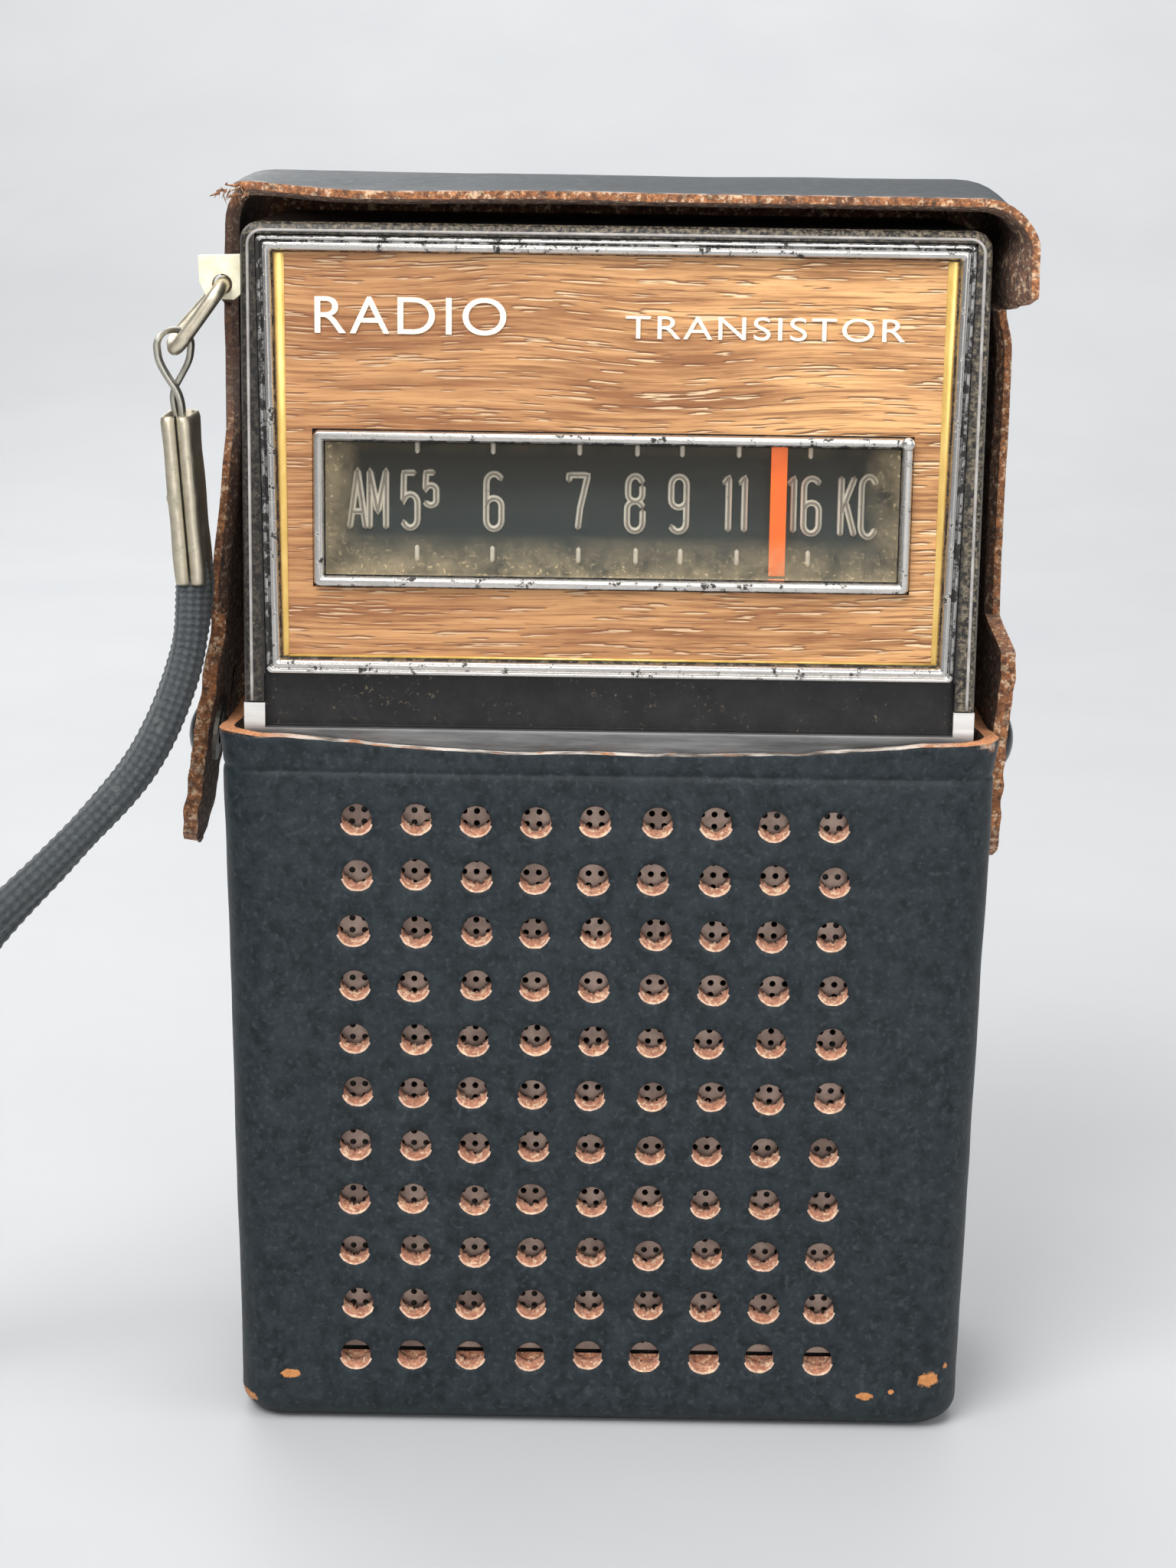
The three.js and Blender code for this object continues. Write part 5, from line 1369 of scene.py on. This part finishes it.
def strap_cord():
    """The braided cord: one length that leaves the ferrule, turns round and comes back beside itself."""
    start = [(ferrule_x(z), EYE_PIN.y, z) for z in (94, 88, 82)]
    middle = catmull(start + CORD_MIDDLE, 24)
    count = len(middle)
    legs = {1: [], -1: []}
    for i, point in enumerate(middle):
        u = i / (count - 1)
        turn = 8 * smooth(0.2, 0.3, u) - 28 * smooth(0.36, 0.66, u) + 20 * smooth(0.75, 0.95, u)
        turn = math.radians(turn)
        spread = CORD_RADIUS + 0.04 + 0.7 * smooth(0.8, 1.0, u)
        tangent = (middle[min(i + 1, count - 1)] - middle[max(i - 1, 0)]).normalized()
        across = Vector((0, -1, 0))
        up = across.cross(tangent).normalized()
        for side in legs:
            legs[side].append(point + (across * math.cos(turn) + up * math.sin(turn)) * spread * side)
    end_tangent = (middle[-1] - middle[-2]).normalized()
    nose = [middle[-1] + end_tangent * 2.8]
    route = legs[1][::6] + nose + legs[-1][::-1][::6]
    gap = 0.27
    path = resampled(catmull(route, 12), gap)
    reach = gap * len(path)
    turns, pitch = 6, 2.2

    def weave(share, angle):
        along = 2 * math.pi * share * reach / pitch
        lattice = math.sin(turns * angle + along) * math.sin(turns * angle - along)
        squeezed = 1 - 0.42 * (smooth(0.1, 0.06, share) + smooth(0.9, 0.94, share))
        return (CORD_RADIUS - 0.06 + 0.12 * lattice) * squeezed

    cord = sweep("strap_cord_braided", "strap", path, weave, [braid_cloth()], sides=60)
    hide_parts("strap_braid")


# ---------------------------------------------------------------- studs and rivets
def snap_caps():
    """The domed enamel caps of the press studs, with a rolled rim."""
    for label, side in (("left", -1), ("right", 1)):
        low, high = corners(f"snap_cap_{label}")
        lean = math.radians(8) if side < 0 else 0
        axis = Vector((side * math.cos(lean), 0, math.sin(lean) if side < 0 else 0))
        outer = low.x if side < 0 else high.x
        middle = Vector((outer, (low.y + high.y) / 2, (low.z + high.z) / 2 + 0.1 * side))
        base = middle - axis * 1.75
        profile = [(1.2, -1.1), (1.2, 0.0), (3.2, 0.0), (3.45, 0.08), (3.52, 0.22), (3.4, 0.36), (3.1, 0.42)]
        profile += [(2.95, 0.5), (2.5, 0.95), (1.8, 1.35), (1.0, 1.6), (0.0, 1.7)]
        cap = turned(f"snap_cap_domed_{label}", f"{label}_tab", profile, base, axis, ENAMEL)
        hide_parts(f"snap_cap_{label}")


def hood_rivets():
    for label in ("left", "right"):
        low, high = corners(f"hood_rivet_{label}")
        at = ((low.x + high.x) / 2, high.y - 0.95, (low.z + high.z) / 2)
        profile = [(1.1, -2.6), (1.1, 0.0), (2.6, 0.0), (2.8, 0.1), (2.82, 0.28), (2.6, 0.5), (2.0, 0.72)]
        profile += [(1.2, 0.86), (0.55, 0.9), (0.4, 0.75), (0.0, 0.7)]
        rivet = turned(f"hood_rivet_domed_{label}", "radio", profile, at, (0, 1, 0), NICKEL)
        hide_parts(f"hood_rivet_{label}")


# ---------------------------------------------------------------- CAD parts that stay
def dress(material, *names):
    """Gives CAD nodes a material and smooth shading between their sharp edges."""
    for name in names:
        obj = frame["nodes"][name]
        obj.data.materials.clear()
        obj.data.materials.append(material)
        obj.data.polygons.foreach_set("use_smooth", [True] * len(obj.data.polygons))
        split = obj.modifiers.new("split", "EDGE_SPLIT")
        split.split_angle = math.radians(32)


def dress_everything():
    dress(BLACK, "front_cabinet", "rear_cabinet")
    dress(woodgrain(), "woodgrain_panel")
    dress(clear_window(), "dial_window")
    dress(dial_plate(), "dial_scale")
    dress(glowing("pointer_orange_painted_glow", (1.0, 0.14, 0.001), 0.42), "dial_pointer")
    dress(moulded("thumbwheel_black", (0.01, 0.01, 0.01), 0.3, edge=0.06), "tuning_wheel", "volume_wheel")
    dress(moulded("jack_black", (0.015, 0.015, 0.016), 0.45), "earphone_jack", "battery_snap")
    dress(metal("pulley_brass", (0.75, 0.52, 0.2), 0.3), "upper_pulley", "lower_pulley", "tuning_shaft")
    dress(wound("dial_thread", (0.5, 0.43, 0.28), 0.5, 0), "dial_cord")
    plated = metal("plated_steel", (0.55, 0.54, 0.51), 0.35, stained=0.3)
    dress(plated, "tuning_screw", "board_screw_left", "board_screw_right", "volume_control")
    # aged steel, darkened further as painted shade between the tabs and the pocket
    shaded_tone = metal("snap_aged_steel_painted_shade", (0.24, 0.22, 0.19), 0.42, (0.05, 0.035, 0.02), 0.8)
    dress(shaded_tone, "snap_stud_left", "snap_stud_right", "snap_socket_left", "snap_socket_right")
    cans = metal("can_aluminium", (0.62, 0.62, 0.6), 0.4, brushed=(1, 1, 0.1))
    dress(cans, "oscillator_can", "if_can_1", "if_can_2")
    dress(metal("basket_steel", (0.45, 0.45, 0.44), 0.45, brushed=(0.3, 1, 0.3)), "speaker_basket")
    dress(metal("transistor_can", (0.35, 0.35, 0.36), 0.3), *[f"transistor_{i}" for i in range(1, 5)])
    windings = wound("transformer_winding", (0.34, 0.12, 0.03), 0.4, 2)
    dress(windings, "driver_transformer", "output_transformer")
    dress(wound("antenna_wire", (0.42, 0.15, 0.05), 0.5, 0), "antenna_coil")
    dress(moulded("ferrite_grey", (0.03, 0.03, 0.033), 0.6), "ferrite_rod", "speaker_magnet")
    dress(moulded("cone_paper", (0.03, 0.027, 0.024), 0.85), "speaker_cone")
    dress(moulded("tuner_milky", (0.62, 0.61, 0.55), 0.4), "tuning_capacitor")
    dress(moulded("board_phenolic", (0.24, 0.12, 0.04), 0.5), "circuit_board")
    dress(moulded("sleeve_blue", (0.02, 0.06, 0.16), 0.35), "electrolytic_1", "electrolytic_2")
    dress(moulded("battery_jacket", (0.05, 0.055, 0.07), 0.35), "battery")
    dress(moulded("lug_cream", (0.8, 0.73, 0.5), 0.4, (0.36, 0.28, 0.17), 0.5), "strap_lug")


# ---------------------------------------------------------------- stage
def backdrop():
    """A pale sheet that lies flat under the radio and curves up far behind it."""
    reach, start, bend = 3000, 500, 900
    rise = [(start + x, bend + z) for x, z in arc(0, 0, bend, bend, -90, 0, 24)]
    profile = [(-reach, 0), *rise, (start + bend, reach)]
    points = [(x, y, z) for y, z in profile for x in (-reach, reach)]
    sheet = build("studio_floor", None, points, grid_faces(len(profile), 2), [floor_paint()])


def area_light(name, place, aim, size, power):
    data = bpy.data.lights.new(name, "AREA")
    data.shape, data.size, data.energy = "SQUARE", size, power
    light = bpy.data.objects.new(name, data)
    light.location = place
    light.rotation_mode = "QUATERNION"
    light.rotation_quaternion = (Vector(aim) - Vector(place)).to_track_quat("-Z", "Y")
    bpy.context.scene.collection.objects.link(light)


def stage():
    """Soft studio light, its places in metres."""
    backdrop()
    radio = (0, 0, 0.06)
    area_light("key", (-0.22, -0.38, 0.55), radio, 0.35, 4.3)
    area_light("top", (0.05, -0.02, 0.6), radio, 0.5, 2.0)
    area_light("front", (0.12, -0.75, 0.25), radio, 0.3, 1.7)
    area_light("side", (0.55, -0.2, 0.25), radio, 0.4, 1.15)
    area_light("back", (-0.25, 0.5, 0.4), radio, 0.4, 1.1)
    area_light("wall", (0, 0.7, 1.0), (0, 1.3, 0.4), 0.8, 12)
    world = bpy.data.worlds.new("studio")
    world.use_nodes = True
    world.node_tree.nodes["Background"].inputs["Color"].default_value = (0.8, 0.82, 0.85, 1)
    world.node_tree.nodes["Background"].inputs["Strength"].default_value = 0.37
    bpy.context.scene.world = world
    bpy.context.scene.view_settings.view_transform = "Standard"


def floor_paint():
    paint = Paint("pale_floor")
    tone = paint.noise(60, 3)
    return paint.finish(Base_Color=paint.mix(tone, (0.42, 0.43, 0.44), (0.48, 0.485, 0.49)), Roughness=0.6)


def camera():
    """A little above the radio's top, looking down and slightly turned."""
    pitch, yaw, roll = math.radians(12.67), math.radians(-0.36), math.radians(0.79)
    forward = Vector((math.sin(yaw) * math.cos(pitch), math.cos(yaw) * math.cos(pitch), -math.sin(pitch)))
    right = Vector((math.cos(yaw), -math.sin(yaw), 0))
    up = right.cross(forward)
    right, up = right * math.cos(roll) + up * math.sin(roll), up * math.cos(roll) - right * math.sin(roll)
    data = bpy.data.cameras.new("camera")
    data.sensor_width = 36
    data.lens = 70.3
    data.clip_start, data.clip_end = 0.01, 20
    cam = bpy.data.objects.new("camera", data)
    bpy.context.scene.collection.objects.link(cam)
    turn = Matrix((right, up, -forward)).transposed().to_4x4()
    cam.matrix_world = Matrix.Translation(Vector((-0.1, -297.1, 127.5)) * MM) @ turn
    bpy.context.scene.camera = cam


# ---------------------------------------------------------------- the radio
leather_pocket()
foot_lining()
leather_hood()
torn_fibres()
leather_tab(-1)
leather_tab(1)
front_mouldings()
cabinet_bead()
gold_edges()
lettering("panel_word_left", "RADIO", -27.4, 106.0, 3.4, 17.5)
lettering("panel_word_right", "TRANSISTOR", 1.0, 105.9, 2.1, 25.5)
dial_figures()
speaker_grille()
strap_link()
strap_eye()
strap_ferrule()
strap_cord()
snap_caps()
hood_rivets()
dress_everything()
stage()
camera()
